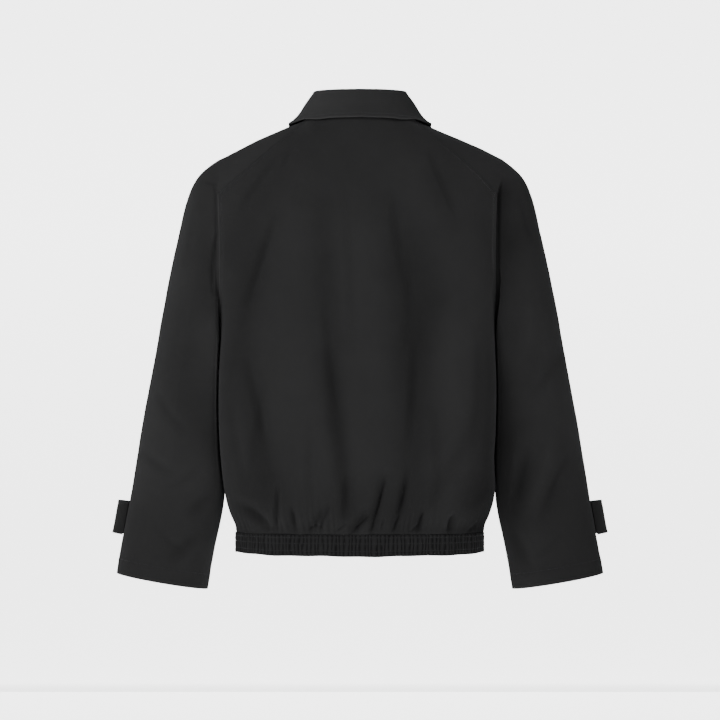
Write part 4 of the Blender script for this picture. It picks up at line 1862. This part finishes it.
def make_stage():
    """Pale floor that runs up into a wall, a soft key light above on the left, a weak fill, and the camera."""
    look = bpy.context.scene.jacket_stage
    profile = [(FLOOR_END_Y, FLOOR_Z), (WALL_Y + WALL_BEND, FLOOR_Z)]
    for angle in np.radians(np.arange(0.0, 91.0, 7.5)):
        rise = WALL_BEND * (1.0 - math.cos(angle))
        profile.append((WALL_Y + WALL_BEND * (1.0 - math.sin(angle)), FLOOR_Z + rise))
    profile.append((WALL_Y, WALL_TOP))
    vertices = [(x, y, z) for y, z in profile for x in (-FLOOR_HALF_WIDTH, FLOOR_HALF_WIDTH)]
    faces = [(2 * i, 2 * i + 1, 2 * i + 3, 2 * i + 2) for i in range(len(profile) - 1)]
    backdrop = bpy.data.meshes.new("backdrop")
    backdrop.from_pydata(vertices, [], faces)
    backdrop.polygons.foreach_set("use_smooth", np.ones(len(backdrop.polygons), dtype=bool))
    backdrop.materials.append(new_material("backdrop_paper", {
        "Base Color": (0.90, 0.90, 0.90, 1.0), "Roughness": 0.95,
        "Emission Color": WHITE, "Emission Strength": look.backdrop_glow,
    })[0])
    put("backdrop", backdrop)
    for name, place, size, power in (
        ("key", (3.2, 3.6, 3.0), 1.6, look.key_power),
        ("fill", (-1.8, 4.6, 0.4), 2.6, look.fill_power),
        ("front_fill", (0.0, -3.0, 1.6), 2.4, look.front_power),
    ):
        lamp = bpy.data.lights.new(name, "AREA")
        lamp.size = size
        lamp.energy = power
        made = put(name, lamp)
        made.location = place
        aim = Vector((0.0, 0.0, MIDDLE_Z)) - Vector(place)
        made.rotation_euler = aim.to_track_quat("-Z", "Y").to_euler()
    world = bpy.data.worlds.new("studio")
    world.use_nodes = True
    light = world.node_tree.nodes["Background"]
    light.inputs["Color"].default_value = WHITE
    light.inputs["Strength"].default_value = look.world_strength
    lens = bpy.data.cameras.new("camera")
    lens.lens = look.lens
    lens.sensor_width = SENSOR
    lens.clip_end = 50.0
    camera = put("camera", lens)
    camera.location = (0.0, look.distance, MIDDLE_Z)
    camera.rotation_euler = (math.radians(90.0), 0.0, math.radians(180.0))
    bpy.context.scene.world = world
    bpy.context.scene.camera = camera


# ---- settings

def amount_setting(name, description, default, low, high, subtype="NONE"):
    return bpy.props.FloatProperty(
        name=name, description=description, default=default, min=low, max=high, subtype=subtype,
    )


def length_setting(name, description, default, low, high):
    return amount_setting(name, description, default, low, high, "DISTANCE")


def colour_setting(name, description, default):
    return bpy.props.FloatVectorProperty(
        name=name, description=description, default=default, min=0.0, max=1.0, subtype="COLOR",
    )


class JacketCloth(bpy.types.PropertyGroup):
    """Colours and sheen of the cloth, thread, buttons and metal."""
    shell: colour_setting("Shell", "Colour of the body, sleeves and collar", (0.0150, 0.0150, 0.0152))
    band: colour_setting("Band", "Colour of the gathered hem band", (0.0089, 0.0089, 0.0091))
    thread: colour_setting("Thread", "Colour of the stitches", (0.0125, 0.0125, 0.0127))
    metal: colour_setting("Metal", "Colour of the zip's teeth, slider and pull", (0.055, 0.055, 0.057))
    button: colour_setting("Buttons", "Colour of the strap buttons", (0.020, 0.020, 0.021))
    sheen: amount_setting("Sheen", "Soft shine of the nap", 0.008, 0.0, 1.0)


class JacketSewing(bpy.types.PropertyGroup):
    """Stitches, seam margins and the ribs of the gathered band."""
    stitch_length: length_setting("Stitch Length", "Length of a stitch", 0.0027, 0.001, 0.01)
    stitch_pitch: length_setting("Stitch Pitch", "Distance from one stitch to the next", 0.0033, 0.001, 0.02)
    thread_width: length_setting("Thread Width", "Thickness of the thread", 0.0006, 0.0001, 0.003)
    margin: length_setting("Seam Margin", "Distance of a row of stitches from its seam or edge", 0.006, 0.001, 0.02)
    rib_height: length_setting("Rib Height", "Height of the gathered band's ribs", 0.0020, 0.0, 0.004)


class JacketDrape(bpy.types.PropertyGroup):
    """Strength of the folds, creases and soft waves in the cloth."""
    folds: amount_setting("Folds", "Strength of the large folds", 1.3, 0.0, 2.0)
    creases: amount_setting("Creases", "Strength of the fine creases", 1.0, 0.0, 2.0)
    wave_height: length_setting("Waves", "Height of the soft waves in the cloth", 0.0013, 0.0, 0.006)


class JacketStage(bpy.types.PropertyGroup):
    """Camera distance and the strength of the lights."""
    distance: length_setting("Camera Distance", "Distance of the camera behind the jacket", 5.4, 1.0, 20.0)
    lens: amount_setting("Lens", "Focal length in millimetres", 180.0, 20.0, 400.0)
    key_power: amount_setting("Key Light", "Power of the light above on the left", 420.0, 0.0, 2000.0)
    fill_power: amount_setting("Fill Light", "Power of the light on the right", 80.0, 0.0, 2000.0)
    front_power: amount_setting("Far Light", "Power of the light on the jacket's other side", 70.0, 0.0, 2000.0)
    backdrop_glow: amount_setting("Backdrop Glow", "Light the backdrop gives off itself", 2.6, 0.0, 8.0)
    world_strength: amount_setting("Room Light", "Strength of the even light of the room", 0.30, 0.0, 5.0)


# ---- operators and panel

class JACKET_OT_body(bpy.types.Operator):
    """Make the back and both fronts"""
    bl_idname = "jacket.body"
    bl_label = "Back and Fronts"

    def execute(self, context):
        for node, face, folds, creases, seed, over in (
            ("back", BACK, BACK_FOLDS, BACK_CREASES, 3, False),
            ("front_left", FRONT, left_side(FRONT_FOLDS), left_side(FRONT_CREASES), 11, False),
            ("front_right", FRONT, right_side(FRONT_FOLDS), right_side(FRONT_CREASES), 17, True),
        ):
            made, stitches = make_panel(node + "_cloth", node, face, folds, creases, seed, over)
        return {"FINISHED"}


class JACKET_OT_sleeves(bpy.types.Operator):
    """Make both sleeves with their turned-up cuffs"""
    bl_idname = "jacket.sleeves"
    bl_label = "Sleeves"

    def execute(self, context):
        for side, folds, creases, seed, left in (
            ("left", LEFT_SLEEVE_FOLDS, LEFT_SLEEVE_CREASES, 51, True),
            ("right", right_side(RIGHT_SLEEVE_FOLDS), right_side(RIGHT_SLEEVE_CREASES), 57, False),
        ):
            made, stitches = make_sleeve(side, folds, creases, seed, left)
        return {"FINISHED"}


class JACKET_OT_hem_band(bpy.types.Operator):
    """Make the gathered band round the hem"""
    bl_idname = "jacket.hem_band"
    bl_label = "Hem Band"

    def execute(self, context):
        make_hem_band()
        return {"FINISHED"}


class JACKET_OT_collar(bpy.types.Operator):
    """Make the collar's stand and leaf"""
    bl_idname = "jacket.collar"
    bl_label = "Collar"

    def execute(self, context):
        make_collar((shoulder_half(FRONT), shoulder_half(BACK)[:, ::-1]))
        return {"FINISHED"}


class JACKET_OT_straps(bpy.types.Operator):
    """Make the cuff straps and their buttons"""
    bl_idname = "jacket.straps"
    bl_label = "Straps and Buttons"

    def execute(self, context):
        for side, left in (("left", True), ("right", False)):
            make_strap(side, left)
            make_button(side, left)
        return {"FINISHED"}


class JACKET_OT_zip(bpy.types.Operator):
    """Make the front zip with its slider and pull tab"""
    bl_idname = "jacket.zip"
    bl_label = "Zip"

    def execute(self, context):
        make_zip()
        return {"FINISHED"}


class JACKET_OT_stage(bpy.types.Operator):
    """Make the backdrop, lights and camera"""
    bl_idname = "jacket.stage"
    bl_label = "Stage"

    def execute(self, context):
        make_stage()
        return {"FINISHED"}


class JACKET_PT_panel(bpy.types.Panel):
    """Settings and makers of the jacket's pieces"""
    bl_label = "Blouson Jacket"
    bl_idname = "JACKET_PT_panel"
    bl_space_type = "VIEW_3D"
    bl_region_type = "UI"
    bl_category = "Jacket"

    def draw(self, context):
        for name, group in GROUPS:
            box = self.layout.box()
            box.label(text=group.bl_rna.description)
            for setting in group.__annotations__:
                box.prop(getattr(context.scene, name), setting)
        for operator in OPERATORS:
            self.layout.operator(operator.bl_idname)


GROUPS = (
    ("jacket_cloth", JacketCloth),
    ("jacket_sewing", JacketSewing),
    ("jacket_drape", JacketDrape),
    ("jacket_stage", JacketStage),
)
OPERATORS = (
    JACKET_OT_body,
    JACKET_OT_sleeves,
    JACKET_OT_hem_band,
    JACKET_OT_collar,
    JACKET_OT_straps,
    JACKET_OT_zip,
    JACKET_OT_stage,
)


def register():
    for name, group in GROUPS:
        bpy.utils.register_class(group)
        setattr(bpy.types.Scene, name, bpy.props.PointerProperty(type=group))
    for operator in OPERATORS:
        bpy.utils.register_class(operator)
    bpy.utils.register_class(JACKET_PT_panel)


def unregister():
    bpy.utils.unregister_class(JACKET_PT_panel)
    for operator in reversed(OPERATORS):
        bpy.utils.unregister_class(operator)
    for name, group in reversed(GROUPS):
        delattr(bpy.types.Scene, name)
        bpy.utils.unregister_class(group)


def main():
    register()
    bpy.ops.jacket.body()
    bpy.ops.jacket.sleeves()
    bpy.ops.jacket.hem_band()
    bpy.ops.jacket.collar()
    bpy.ops.jacket.straps()
    bpy.ops.jacket.zip()
    bpy.ops.jacket.stage()


if __name__ == "__main__":
    main()
